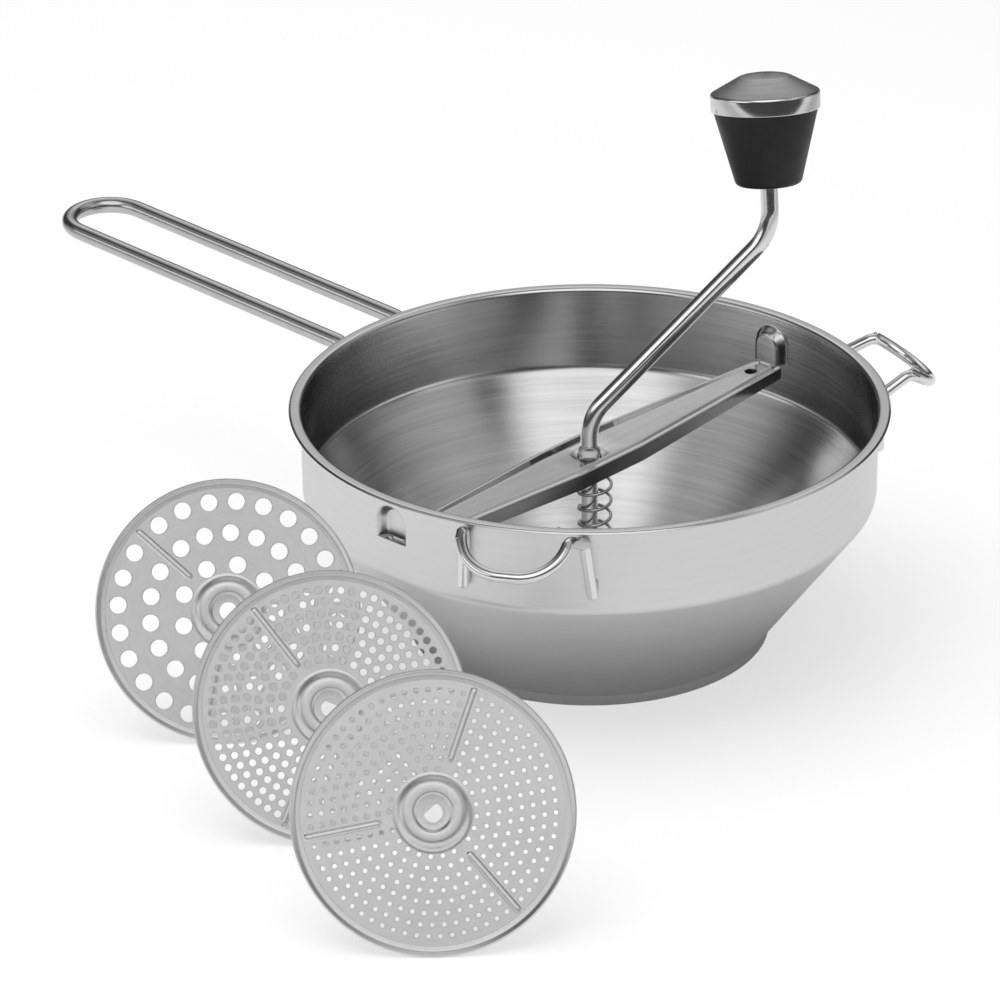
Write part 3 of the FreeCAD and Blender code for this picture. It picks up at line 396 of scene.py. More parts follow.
def own_coordinates(tree, place=None):
    """Object coordinates, turned and centred into a piece's own frame where one is given."""
    coordinates = add_node(tree, "ShaderNodeTexCoord").outputs["Object"]
    if place is None:
        return coordinates
    inverse = place.inverted()
    return add_node(tree, "ShaderNodeMapping", {
        "Vector": coordinates, "Location": inverse.to_translation(),
        "Rotation": inverse.to_euler("XYZ")}, vector_type="POINT").outputs[0]


def blend_colors(tree, amount, first, second):
    return add_node(tree, "ShaderNodeMix", {0: amount, 6: first, 7: second},
                    data_type="RGBA").outputs[2]


def grey(level, warmth=0.0):
    return (level * (1 + warmth), level, level * (1 - warmth), 1.0)


def new_material(name):
    material = bpy.data.materials.new(name)
    material.use_nodes = True
    return material, material.node_tree, material.node_tree.nodes["Principled BSDF"]


def handling_marks(tree, vector, size):
    return add_node(tree, "ShaderNodeGroup", {"Vector": vector, "Smear Size": size},
                    node_tree=GROUPS["handling"]).outputs


def add_relief(tree, shader, height, strength, distance):
    relief = add_node(tree, "ShaderNodeBump",
                      {"Strength": strength, "Distance": distance * MM, "Height": height})
    feed(tree, shader.inputs["Normal"], relief.outputs[0])


METAL_SMEAR_SIZE = 22.0
METAL_WARMTH = 0.006
PLASTIC_SMEAR_SIZE = 60.0


def metal(name, pattern, dark, light, roughness, bump, anisotropic=0.0, *, settings, place=None,
          smear=0.05, bump_distance=0.02, turn=0.0, painted_bounce_light=None):
    """Steel whose grain shifts its tone, its roughness and its relief. The bounce levels scale its
    colour where it is seen in another reflection, and again where it is seen in one of those:
    painted light and shade in reflections."""
    material, tree, shader = new_material(name)
    vector = own_coordinates(tree, place)
    grain = add_node(tree, "ShaderNodeGroup", {"Vector": vector, **settings},
                     node_tree=GROUPS[pattern]).outputs
    marks = handling_marks(tree, vector, METAL_SMEAR_SIZE)
    tone = plus(tree, times(tree, grain["Tone"], 0.6), times(tree, grain["Height"], 0.4))
    tone = map_range(tree, tone, 0.3, 0.7, 0.0, 1.0)
    color = blend_colors(tree, tone, grey(dark), grey(light, METAL_WARMTH))
    if painted_bounce_light:
        # Painted reflection light and shade: the colour is scaled by how many reflections deep it
        # is seen.
        depth = add_node(tree, "ShaderNodeLightPath").outputs["Glossy Depth"]
        once, again = (map_range(tree, depth, low, low + 1.0, 1.0, level)
                       for low, level in enumerate(painted_bounce_light))
        scale = times(tree, once, again)
        color = add_node(tree, "ShaderNodeVectorMath", {0: color, "Scale": scale},
                         operation="SCALE").outputs[0]
    feed(tree, shader.inputs["Base Color"], color)
    shader.inputs["Metallic"].default_value = 1.0
    rough = map_range(tree, grain["Height"], 0.3, 0.7, *roughness)
    for mark in ("Smears", "Specks"):
        rough = plus(tree, rough, times(tree, marks[mark], smear))
    feed(tree, shader.inputs["Roughness"], rough)
    shader.inputs["Anisotropic"].default_value = anisotropic
    shader.inputs["Anisotropic Rotation"].default_value = turn
    add_relief(tree, shader, grain["Height"], bump, bump_distance)
    return material


def moulded_plastic(name, place):
    """Black plastic with a fine matt texture and a little dust in it."""
    material, tree, shader = new_material(name)
    vector = own_coordinates(tree, place)
    marks = handling_marks(tree, vector, PLASTIC_SMEAR_SIZE)
    texture = noise_node(tree, vector, 2600.0, 3.0, 0.6)
    tone = plus(tree, times(tree, marks["Smears"], 0.35), times(tree, texture, 0.5))
    color = blend_colors(tree, tone, grey(0.003), grey(0.011))
    feed(tree, shader.inputs["Base Color"], color)
    rough = map_range(tree, texture, 0.3, 0.7, 0.42, 0.58)
    rough = math_node(tree, "SUBTRACT", rough, times(tree, marks["Smears"], 0.07))
    feed(tree, shader.inputs["Roughness"], rough)
    shader.inputs["Specular IOR Level"].default_value = 0.42
    add_relief(tree, shader, texture, 0.35, 0.05)
    return material


# ---- Frames of the knob and the discs --------------------------------------------------------

def knob_place():
    along = Vector((-math.tan(radians(KNOB_LEAN)), math.tan(radians(KNOB_TILT)), 1))
    start = Vector((CRANK_RADIUS, 0, CRANK_KNEE_CORNER)) + along * (KNOB_START - CRANK_KNEE_CORNER)
    turn = UP.rotation_difference(along).to_matrix().to_4x4()
    return about_z(CRANK_ANGLE) @ Matrix.Translation(start * MM) @ turn


def disc_place(x, y, facing, lean, turn):
    rim_height = DISC_RIM_HEIGHT - DISC_SHEET / 2
    height = DISC_RADIUS * math.cos(radians(lean)) + DISC_LIFT
    height -= rim_height * math.sin(radians(lean))
    upright = about_z(facing + 90) @ Matrix.Rotation(radians(90 - lean), 4, "X") @ about_z(turn)
    return Matrix.Translation(Vector((x, y, height)) * MM) @ upright


KNOB = knob_place()
ARM = about_z(CRANK_ANGLE)
DISCS = {
    "coarse": disc_place(-51.9, -153.0, -43.5, 26.9, 16.4),
    "medium": disc_place(32.6, -182.8, -44.9, 28.2, 126.5),
    "fine": disc_place(114.9, -214.3, -46.3, 29.5, 190.3),
}

# ---- Materials -------------------------------------------------------------------------------

RING_LINES = {"Lines": 2600.0, "Sweep": 1.6}
MATERIALS = {
    # The inside is painted brighter where seen in one reflection and darker where seen in two.
    "bowl_inside": metal("bowl_inside_brushed", "round", 0.47, 0.65, (0.15, 0.24), 0.12, 0.65,
                         settings=RING_LINES, smear=0.02, turn=0.25, painted_bounce_light=(1.35, 0.3)),
    "bowl_outside": metal("bowl_outside_satin", "round", 0.66, 0.70, (0.28, 0.33), 0.04, 0.3,
                          settings={"Lines": 5200.0, "Sweep": 5.0}),
    "lip": metal("lip_polished", "round", 0.64, 0.72, (0.13, 0.18), 0.04, 0.3,
                 settings={"Lines": 5200.0, "Sweep": 3.0}, smear=0.03),
    "seat": metal("seat_ring_satin", "round", 0.5, 0.64, (0.28, 0.38), 0.2, 0.4,
                  settings={"Lines": 4200.0, "Sweep": 3.0}),
    "wire": metal("polished_wire", "straight", 0.70, 0.80, (0.07, 0.13), 0.05,
                  settings={"Stretch": (420.0, 420.0, 420.0)}, smear=0.03),
    "handle": metal("handle_wire", "straight", 0.46, 0.56, (0.1, 0.17), 0.05,
                    settings={"Stretch": (420.0, 420.0, 420.0)}, smear=0.03),
    "weld": metal("weld_bead", "straight", 0.34, 0.6, (0.25, 0.5), 0.6,
                  settings={"Stretch": (1500.0, 1500.0, 900.0)}, bump_distance=0.1),
    "bridge": metal("bridge_sheet", "straight", 0.56, 0.64, (0.15, 0.21), 0.06,
                    settings={"Stretch": (1800.0, 60.0, 1800.0)}),
    # The skirt is a darker copy of the bridge steel: painted shade on its upright faces.
    "skirt": metal("bridge_skirt_painted_shade", "straight", 0.19, 0.25, (0.15, 0.21), 0.06,
                   settings={"Stretch": (1800.0, 60.0, 1800.0)}),
    "bearing": metal("bearing_turned", "round", 0.5, 0.72, (0.14, 0.24), 0.1, 0.3,
                     settings={"Lines": 6000.0, "Sweep": 1.0}),
    "blade": metal("blade_sheet", "straight", 0.46, 0.62, (0.24, 0.36), 0.25, 0.3,
                   settings={"Stretch": (90.0, 2200.0, 2200.0)}),
    "spring": metal("spring_wire", "straight", 0.36, 0.5, (0.14, 0.24), 0.1,
                    settings={"Stretch": (900.0, 900.0, 2600.0)}),
    "cap": metal("cap_turned", "round", 0.38, 0.5, (0.3, 0.4), 0.16, 0.5, place=KNOB,
                 settings={"Lines": 5200.0, "Sweep": 1.4}),
    "cap_band": metal("cap_polished_band", "round", 0.68, 0.8, (0.08, 0.13), 0.05, 0.2, place=KNOB,
                      settings={"Lines": 5200.0, "Sweep": 1.4}, smear=0.03),
    "grip": moulded_plastic("grip_moulded_black", KNOB),
}
for disc_name, place in DISCS.items():
    MATERIALS["disc_" + disc_name] = metal(
        "disc_" + disc_name + "_satin", "round", 0.64, 0.72, (0.34, 0.44), 0.12, 0.25, place=place,
        settings={"Lines": 5200.0, "Sweep": 6.0})


# ---- Mesh building blocks --------------------------------------------------------------------

def make_mesh(name, vertices, faces, materials=()):
    """A mesh from points in millimetres."""
    mesh = bpy.data.meshes.new(name)
    mesh.from_pydata([tuple(Vector(v) * MM) for v in vertices], [], faces)
    for material in materials:
        mesh.materials.append(MATERIALS[material])
    return mesh


def add_object(name, data):
    thing = bpy.data.objects.new(name, data)
    bpy.context.scene.collection.objects.link(thing)
    return thing


def merge_points(mesh, distance, upwards=False):
    """Joins points that lie together and turns all the faces outwards, or a sheet's upwards."""
    joined = bmesh.new()
    joined.from_mesh(mesh)
    bmesh.ops.remove_doubles(joined, verts=joined.verts, dist=distance * MM)
    bmesh.ops.recalc_face_normals(joined, faces=joined.faces)
    if upwards and sum(face.normal.z for face in joined.faces) < 0:
        bmesh.ops.reverse_faces(joined, faces=joined.faces)
    joined.to_mesh(mesh)
    joined.free()


def make_piece(name, vertices, faces, materials, body, slot, stands_for=(), sharp=34.0, place=None,
               face_materials=None, merge=True):
    """A finished piece from points in millimetres. Its place is in its mesh."""
    mesh = make_mesh(name, vertices, faces, materials)
    if place is not None:
        mesh.transform(place)
    if face_materials:
        mesh.polygons.foreach_set("material_index", face_materials)
    if merge:
        merge_points(mesh, 0.002)
    finish_mesh(mesh, sharp)
    piece = add_object(name, mesh)
    settle(piece, body, slot, stands_for)
    return piece


def finish_mesh(mesh, sharp):
    mesh.shade_smooth()
    mesh.set_sharp_from_angle(angle=radians(sharp))
    mesh.update()


def settle(piece, body, slot, stands_for):
    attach(piece, body)
    if stands_for:
        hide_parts(*stands_for)


def plain_mesh(piece):
    """Turns a piece with modifiers into a plain mesh."""
    graph = bpy.context.evaluated_depsgraph_get()
    mesh = bpy.data.meshes.new_from_object(piece.evaluated_get(graph))
    piece.modifiers.clear()
    old = piece.data
    piece.data = mesh
    bpy.data.meshes.remove(old)
    return mesh


def thickened(piece, sheet, inner_material=0):
    """A sheet's mesh with its thickness, which lies behind its faces."""
    thickness = piece.modifiers.new("sheet", "SOLIDIFY")
    thickness.thickness = sheet * MM
    thickness.offset = -1.0
    thickness.use_even_offset = True
    thickness.material_offset = inner_material
    thickness.material_offset_rim = inner_material
    return plain_mesh(piece)


def rounded_route(points, radii, step=6.0, closed=False, arc_steps=None):
    """Points along straight runs with an arc at each corner. The arc's points are a step of some
    degrees apart, or as many as arc_steps says."""
    points = [Vector(point) for point in points]
    count = len(points)
    route = [] if closed else [points[0]]
    for index in (range(count) if closed else range(1, count - 1)):
        corner = points[index]
        before = (corner - points[index - 1]).normalized()
        after = (points[(index + 1) % count] - corner).normalized()
        turn = before.angle(after)
        radius = radii[index]
        if radius <= 0 or turn < 1e-5:
            route.append(corner)
            continue
        reach = radius * math.tan(turn / 2)
        inward = (after - before).normalized()
        centre = corner + inward * math.hypot(radius, reach)
        spoke = corner - before * reach - centre
        axis = before.cross(after).normalized()
        steps = arc_steps or max(2, math.ceil(math.degrees(turn) / step))
        for arc_step in range(steps + 1):
            route.append(centre + Matrix.Rotation(turn * arc_step / steps, 3, axis) @ spoke)
    if not closed:
        route.append(points[-1])
    return route


def divide_route(route, spacing):
    """The same route with its long runs divided, so that no step is much over the spacing."""
    divided = [route[0]]
    for start, end in zip(route, route[1:]):
        pieces = max(1, math.ceil((end - start).length / spacing))
        divided.extend(start.lerp(end, index / pieces) for index in range(1, pieces + 1))
    return divided


def tube_faces(rings, sides):
    """The faces between closed rings of points."""
    faces = []
    for ring in range(rings - 1):
        for step in range(sides):
            a = ring * sides + step
            b = ring * sides + (step + 1) % sides
            faces.append((a, b, b + sides, a + sides))
    return faces


def grid_faces(rows, columns):
    """The faces between open rows of points."""
    return [(a, a + 1, a + 1 + columns, a + columns)
            for row in range(rows - 1) for a in range(row * columns, (row + 1) * columns - 1)]


def turned_over(face, shift=0):
    """The same face seen from behind, with its points' numbers shifted."""
    return tuple(index + shift for index in (face[0], *face[:0:-1]))


def swept(route, sizes, first_side, sides=36, round_end=0.5):
    """A closed bar along a route. sizes gives, per point, half width, half depth, squareness."""
    vertices = []
    side = Vector(first_side)
    count = len(route)
    rings = []
    for index, point in enumerate(route):
        ahead = route[min(index + 1, count - 1)]
        behind = route[max(index - 1, 0)]
        direction = (ahead - behind).normalized()
        side = (side - direction * side.dot(direction)).normalized()
        rings.append((point, direction, side.copy(), sizes(index, point)))

    def end_cap(ring):
        half_width, half_depth, squareness = ring[3]
        return (*ring[:3], (half_width - round_end, half_depth - round_end, squareness))

    first, last = rings[0], rings[-1]
    rings[0] = (first[0] + first[1] * round_end, *first[1:])
    rings[-1] = (last[0] - last[1] * round_end, *last[1:])
    rings = [end_cap(first), *rings, end_cap(last)]
    for point, direction, across, (half_width, half_depth, squareness) in rings:
        depth_side = direction.cross(across)
        power = 2.0 / squareness
        for step in range(sides):
            angle = 2 * math.pi * step / sides
            cosine, sine = math.cos(angle), math.sin(angle)
            vertices.append(
                point + across * (half_width * math.copysign(abs(cosine) ** power, cosine))
                + depth_side * (half_depth * math.copysign(abs(sine) ** power, sine)))
    faces = tube_faces(len(rings), sides)
    faces.append(tuple(range(sides))[::-1])
    faces.append(tuple(range((len(rings) - 1) * sides, len(rings) * sides)))
    return vertices, faces


def round_bar(route, radius, first_side, sides=36):
    return swept(route, lambda index, point: (radius, radius, 2.0), first_side, sides)


def rounded_outline(points, radii, step=15.0):
    """A closed outline of (radius, height) points with rounded corners."""
    corners = [(radius, 0, height) for radius, height in points]
    return [(point.x, point.z) for point in rounded_route(corners, radii, step, closed=True)]


def turned(outline, segments=128, closed=True):
    """A body of revolution from an outline of (radius, height) points."""
    vertices = []
    faces = []
    rows = len(outline)
    for step in range(segments):
        angle = 2 * math.pi * step / segments
        for radius, height in outline:
            vertices.append((radius * math.cos(angle), radius * math.sin(angle), height))
    for step in range(segments):
        following = (step + 1) % segments
        for row in range(rows if closed else rows - 1):
            ahead = (row + 1) % rows
            if outline[row][0] < 1e-6 and outline[ahead][0] < 1e-6:
                continue
            face = [step * rows + row, following * rows + row,
                    following * rows + ahead, step * rows + ahead]
            if outline[row][0] < 1e-6:
                face.pop(1)
            elif outline[ahead][0] < 1e-6:
                face.pop(2)
            faces.append(tuple(face))
    return vertices, faces


def offset_outline(path, radii, distance):
    """The path moved to its left by the distance, with its corner radii to suit."""
    moved = []
    moved_radii = []
    last = len(path) - 1
    for index, (x, y) in enumerate(path):
        ends = [path[min(max(index + shift, 0), last)] for shift in (-1, 0, 1)]
        runs = [Vector((b[0] - a[0], b[1] - a[1])) for a, b in zip(ends, ends[1:])]
        first = (runs[0] if runs[0].length > 0 else runs[1]).normalized()
        second = (runs[1] if runs[1].length > 0 else runs[0]).normalized()
        normal = Vector((-first.y - second.y, first.x + second.x)).normalized()
        reach = distance / normal.dot(Vector((-first.y, first.x)))
        moved.append((x + normal.x * reach, y + normal.y * reach))
        shift = math.copysign(distance, first.x * second.y - first.y * second.x)
        moved_radii.append(max(radii[index] - shift, 0.0) if radii[index] else 0.0)
    return moved, moved_radii


def turned_sheet(path, radii, sheet, segments=128):
    """A turned sheet: the path is one side of it, and the sheet lies to its left."""
    other, other_radii = offset_outline(path, radii, sheet)
    edge = min(0.2, sheet / 4)
    corner_radii = [edge, *radii[1:-1], edge, edge, *other_radii[1:-1][::-1], edge]
    return turned(rounded_outline(path + other[::-1], corner_radii), segments)


def merge_parts(*parts):
    """Several lists of points and faces as one."""
    vertices = []
    faces = []
    for part_vertices, part_faces in parts:
        start = len(vertices)
        vertices.extend(Vector(v) for v in part_vertices)
        faces.extend(tuple(index + start for index in face) for face in part_faces)
    return vertices, faces


def moved(part, matrix):
    """A part's points through a matrix whose shift is in millimetres."""
    vertices, faces = part
    return [matrix @ Vector(v) for v in vertices], faces


# ---- Bowl ------------------------------------------------------------------------------------

def lug_share(x, z):
    """How far the sheet is drawn in beside a lug's middle line: 0 outside, 1 on its face."""
    half = LUG_WIDTH / 2
    shoulder = LUG_BOTTOM + LUG_HEIGHT - half
    if z < LUG_BOTTOM - 1e-6:
        return 0.0
    inside = half - abs(x) if z < shoulder else half - math.hypot(x, z - shoulder)
    return ease(inside / LUG_WALL)


def bowl_rows():
    """Rows of the sheet's outer side from the foot up, close together beside the lugs, and how
    many of them lie under the lugs."""
    lip_underside = BOWL_HEIGHT - BOWL_SHEET
    corners = [(NECK_RADIUS, 0, 0), (NECK_RADIUS, 0, NECK_HEIGHT), (BAND_RADIUS, 0, BAND_BOTTOM),
               (BAND_RADIUS, 0, lip_underside), (LIP_RADIUS - LIP_ROLL, 0, lip_underside),
               (LIP_RADIUS, 0, lip_underside - LIP_ROLL)]
    route = rounded_route(corners, [0, NECK_BEND, BAND_BEND, LIP_BEND, LIP_ROLL, 0], 7.0)
    rows = []
    for start, end in zip(route, route[1:]):
        on_band = start.z > BAND_BOTTOM and end.x <= BAND_RADIUS + 1e-6
        pieces = max(1, math.ceil((end - start).length / (BAND_ROW if on_band else WALL_ROW)))
        points = [start.lerp(end, step / pieces) for step in range(pieces)]
        rows.extend((point.x, point.z) for point in points)
    rows.append((route[-1].x, route[-1].z))
    floor, reach = LUG_BOTTOM - LUG_ROOM, LUG_HEIGHT + LUG_ROOM
    low = [row for row in rows if row[1] <= floor]
    high = [row for row in rows if row[1] > floor
            and not (abs(row[0] - BAND_RADIUS) < 1e-4 and row[1] < LUG_BOTTOM + reach)]
    count = math.ceil(reach / LUG_ROW)
    band = [(BAND_RADIUS, LUG_BOTTOM + index * reach / count) for index in range(count + 1)]
    return low + band + high, len(low)


def bowl_angles():
    """Angles round the bowl, close together beside the lugs at +Y and -Y."""
    reach = math.degrees((LUG_WIDTH / 2 + LUG_SIDE_ROOM) / BAND_RADIUS)
    half = [mix(-reach, reach, index / LUG_COLUMNS) for index in range(LUG_COLUMNS)]
    half += [mix(reach, 180 - reach, index / WALL_COLUMNS) for index in range(WALL_COLUMNS)]
    return [90 + angle for angle in half] + [270 + angle for angle in half]


def bowl_wall():
    """The one sheet of foot, cone, band and lip, with the lugs drawn in and slit along their
    lower edge."""
    rows, slit_row = bowl_rows()
    angles = bowl_angles()
    face_depth = BAND_RADIUS - LUG_DEPTH
    vertices = []
    numbers = {}

    def number(column, row, above):
        radius, height = rows[row]
        angle = radians(angles[column])
        x, y = radius * math.cos(angle), radius * math.sin(angle)
        share = lug_share(x, height) if abs(y) > BAND_RADIUS * 0.9 and row >= slit_row else 0.0
        if row == slit_row and not above:
            share = 0.0
        key = (column, row, row == slit_row and share > 0)
        if key not in numbers:
            numbers[key] = len(vertices)
            vertices.append((x, mix(y, math.copysign(face_depth, y), share), height))
        return numbers[key]

    faces = []
    for column in range(len(angles)):
        following = (column + 1) % len(angles)
        for row in range(len(rows) - 1):
            above = row >= slit_row
            faces.append((number(column, row, above), number(following, row, above),
                          number(following, row + 1, above), number(column, row + 1, above)))
    mesh = make_mesh("bowl_wall", vertices, faces, ["bowl_outside", "bowl_inside"])
    piece = add_object("bowl_wall", mesh)
    sheet = thickened(piece, BOWL_SHEET, inner_material=1)
    sheet.materials.append(MATERIALS["lip"])
    for face in sheet.polygons:
        if face.center.z > (BOWL_HEIGHT - LIP_ROLL - BOWL_SHEET) * MM and face.material_index == 1:
            face.material_index = 2
    finish_mesh(sheet, 40.0)
    settle(piece, "bowl", "bowl_steel", ["bowl_shell"])


def seat_plate():
    wall = NECK_RADIUS - BOWL_SHEET - WELD_GAP
    topside = [(wall, SEAT_WALL_FOOT), (wall, SEAT_FLOOR_OUTER),
               (SEAT_RADIUS + SEAT_SHEET, SEAT_FLOOR_INNER), (SEAT_RADIUS, SEAT_LEDGE),
               (SEAT_OPENING, SEAT_LEDGE), (SEAT_OPENING, SEAT_LIP_FOOT)]
    part = turned_sheet(topside, SEAT_BENDS, SEAT_SHEET, 160)
    make_piece("seat_plate", *part, ["seat"], "bowl", "bowl_steel", ["seat_ring"])


# ---- Handle and hooks ------------------------------------------------------------------------

def even_route(points, radii, step):
    return divide_route(rounded_route(points, radii, step), 12.0)


def beside_band(radius, across, height):
    """The point at a radius that lies so far to the side."""
    return (math.sqrt(radius ** 2 - across ** 2), across, height)


def handle_loop():
    leg_radius = BAND_RADIUS + HANDLE_ROD + WELD_GAP
    leg_x = math.sqrt(leg_radius ** 2 - HANDLE_HALF_GAP ** 2)
    rise = math.tan(radians(HANDLE_RISE)) * (HANDLE_REACH - leg_x)
    points = [(-leg_x, -HANDLE_HALF_GAP, HANDLE_HEIGHT - HANDLE_LEG),
              (-leg_x, -HANDLE_HALF_GAP, HANDLE_HEIGHT),
              (-HANDLE_REACH, -HANDLE_HALF_GAP, HANDLE_HEIGHT + rise)]
    points += [(x, -y, z) for x, y, z in reversed(points)]
    bends = [0.0, HANDLE_BEND, HANDLE_HALF_GAP - 0.01]
    route = even_route(points, bends + bends[::-1], 5.0)
    part = round_bar(route, HANDLE_ROD, (1, 0, 0), 40)
    make_piece("handle_loop", *part, ["handle"], "bowl", "wire_steel", ["handle_rod"])


def hook_half(spread, slant):
    """The corners of a hook's right half, from its tip to its foot."""
    leg_radius = BAND_RADIUS + HOOK_ROD + WELD_GAP
    top = beside_band(leg_radius, HOOK_TOP_HALF_GAP + spread, HOOK_TOP)
    foot = beside_band(leg_radius, HOOK_LEG_HALF_GAP + spread + slant, HOOK_TOP - HOOK_LEG)
    return [(top[0] + HOOK_TIP_OUT, HOOK_LOOP_HALF_GAP + 0.5 * spread, HOOK_TOP - HOOK_TIP_DROP),
            (top[0] + HOOK_PEAK_OUT, HOOK_LOOP_HALF_GAP + spread, HOOK_TOP + HOOK_PEAK_RISE),
            top, foot]


def hooks():
    bends = [HOOK_LOOP_RADIUS, HOOK_PEAK_BEND, HOOK_BEND, 0.0]
    for node, angle in HOOK_ANGLES.items():
        skew = (HOOK_FRONT_SPREAD, HOOK_FRONT_SLANT) if node == "hook_front" else (0.0, 0.0)
        left = [(x, -y, z) for x, y, z in reversed(hook_half(0.0, 0.0))]
        route = even_route(left + hook_half(*skew), bends[::-1] + bends, 6.0)
        part = moved(round_bar(route, HOOK_ROD, (1, 0, 0), 28), about_z(angle))
        make_piece(node + "_wire", *part, ["wire"], "bowl", "wire_steel", [node])


def weld_bead(height, reach, side):
    """A rippled bead that lies in the corner between a leg and the band, along +Z."""
    vertices = []
    rings, sides = 22, 12
    for ring in range(rings + 1):
        along = ring / rings
        swell = math.sqrt(max(1 - (2 * along - 1) ** 2, 0.0))
        size = swell * (1 + BEAD_RIPPLE * math.sin(along * BEAD_RIPPLE_TURN))
        for step in range(sides):
            angle = 2 * math.pi * step / sides
            vertices.append((reach[0] + BEAD_HALF_DEPTH * size * math.cos(angle),
                             side * reach[1] + BEAD_HALF_WIDTH * size * math.sin(angle),
                             height + along * BEAD_LENGTH))
    return vertices, tube_faces(rings + 1, sides)


def weld_beads():
    """A bead on both sides of every leg, where the rod and the band leave a corner."""
    leg_sets = (
        ("handle", [180.0], HANDLE_ROD, HANDLE_HALF_GAP, HANDLE_HEIGHT - HANDLE_LEG),
        ("hook", list(HOOK_ANGLES.values()), HOOK_ROD, HOOK_LEG_HALF_GAP, HOOK_TOP - HOOK_LEG),
    )
    for name, angles, rod, half_gap, foot in leg_sets:
        corner = (BAND_RADIUS + BEAD_OUT, BEAD_ASIDE * rod)
        parts = []
        for angle in angles:
            for leg in (-1, 1):
                across = half_gap
                if leg == 1 and angle == HOOK_ANGLES["hook_front"]:
                    across += HOOK_FRONT_SPREAD + BEAD_SLANT_SHARE * HOOK_FRONT_SLANT
                aside = math.degrees(math.asin(across / (BAND_RADIUS + rod + WELD_GAP)))
                turn = about_z(angle + leg * aside)
                parts.extend(moved(weld_bead(foot + BEAD_START, corner, side), turn)
                             for side in (-1, 1))
        make_piece(name + "_weld_beads", *merge_parts(*parts), ["weld"], "bowl", "wire_steel",
                   [name + "_welds"])


# ---- Bridge ----------------------------------------------------------------------------------

def taper_share(along):
    """How far a place along the bridge lies between its middle part (0) and its end (1)."""
    return max(abs(along) - BRIDGE_MIDDLE, 0.0) / (BRIDGE_LENGTH / 2 - BRIDGE_MIDDLE)


def bridge_section(along):
    """Half of the channel's top side at a distance along it: the web's half width and height, and
    the points from there over the ridge and down the skirt."""
    share = taper_share(along)
    half = mix(BRIDGE_HALF_WIDTH, BRIDGE_END_HALF_WIDTH, share)
    web = mix(BRIDGE_WEB_DEPTH, BRIDGE_END_WEB_DEPTH, share)
    skirt = mix(BRIDGE_SKIRT, BRIDGE_END_SKIRT, share)
    ledge = half - BRIDGE_LEDGE
    crest_out = ledge - BRIDGE_RIDGE_SLOPE
    crest_in = crest_out - BRIDGE_CREST
    wall_foot = crest_in - BRIDGE_RIDGE_SLOPE
    corners = [(wall_foot - BRIDGE_FOOT_BEND, 0, BRIDGE_TOP - web),
               (wall_foot, 0, BRIDGE_TOP - web),
               (crest_in, 0, BRIDGE_TOP), (crest_out, 0, BRIDGE_TOP),
               (ledge, 0, BRIDGE_TOP - BRIDGE_LEDGE_DROP),
               (half, 0, BRIDGE_TOP - BRIDGE_LEDGE_DROP - 0.1), (half, 0, BRIDGE_TOP - skirt)]
    bends = [0, BRIDGE_FOOT_BEND, *3 * [BRIDGE_CREST_BEND], BRIDGE_EDGE_BEND, 0]
    return rounded_route(corners, bends, arc_steps=5)


def dish_drop(x, y):
    """How far the web is pressed down round the shaft."""
    radius = math.hypot(x, y)
    slope = 1 - ease((radius - WELL_RADIUS) / (DISH_RADIUS - WELL_RADIUS))
    well = 1 - ease((radius - WELL_FLOOR_RADIUS) / (WELL_RADIUS - WELL_FLOOR_RADIUS))
    return DISH_SLOPE_DEPTH * slope + (DISH_DEPTH - DISH_SLOPE_DEPTH) * well


def bridge_web(stations, sections):
    """The web between its two edges, with the dish pressed in and the three holes left out."""
    right = [Vector((section[0].x, along)) for along, section in zip(stations, sections)]
    left = [Vector((-point.x, point.y)) for point in reversed(right)]
    end_hole = BRIDGE_LENGTH / 2 - BRIDGE_END_HOLE_INSET
    holes = [(0.0, BUSH_OUTER + ROUND_GAP), (end_hole, BRIDGE_END_HOLE),
             (-end_hole, BRIDGE_END_HOLE)]
    loops = [right + left]
    loops += [circle_points(0, y, radius, 48) for y, radius in holes]
    loops += [circle_points(0, 0, radius, 64) for radius in DISH_RINGS]
    points, edges = outlined(loops)
    heights = {round(along, 4): section[0].z for along, section in zip(stations, sections)}
    flat, _, triangles, *_ = delaunay_2d_cdt(points, edges, [], 0, 1e-5)

    def web_height(along):
        return BRIDGE_TOP - mix(BRIDGE_WEB_DEPTH, BRIDGE_END_WEB_DEPTH, taper_share(along))

    def kept(triangle):
        a, b, c = (flat[index] for index in triangle)
        middle = (a + b + c) / 3
        real = abs((b - a).cross(c - a)) > 0.004
        return real and all(math.hypot(middle.x, middle.y - y) > radius * 0.99
                            for y, radius in holes)

    vertices = [(p.x, p.y, heights.get(round(p.y, 4), web_height(p.y)) - dish_drop(p.x, p.y))
                for p in flat]
    return vertices, [tuple(triangle) for triangle in triangles if kept(triangle)]


def bridge_channel():
    reach = BRIDGE_LENGTH / 2
    stations = [mix(-reach, reach, step / 90) for step in range(91)]
    sections = [bridge_section(along) for along in stations]
    parts = [bridge_web(stations, sections)]
    for side in (-1, 1):
        vertices = [(side * point.x, along, point.z)
                    for along, section in zip(stations, sections) for point in section]
        parts.append((vertices, grid_faces(len(stations), len(sections[0]))))
    mesh = make_mesh("bridge_channel", *merge_parts(*parts), ["bridge"])
    merge_points(mesh, 0.01, upwards=True)
    piece = add_object("bridge_channel", mesh)
    sheet = thickened(piece, BRIDGE_FORM_SHEET)
    sheet.materials.append(MATERIALS["skirt"])
    # Upright faces under the ledge take the darker copy: painted shade.
    for face in sheet.polygons:
        if abs(face.normal.z) < 0.3 and face.center.z < (BRIDGE_TOP - BRIDGE_LEDGE_DROP) * MM:
            face.material_index = 1
    finish_mesh(sheet, 40.0)
    piece.visible_glossy = False          # the bowl's wall shows the plain sky, not the bridge
    settle(piece, "bridge", "bridge_steel", ["bridge_bar"])


BUSH_BOTTOM = BRIDGE_TOP - BRIDGE_WEB_DEPTH - DISH_DEPTH - BRIDGE_SHEET - BUSH_TAIL


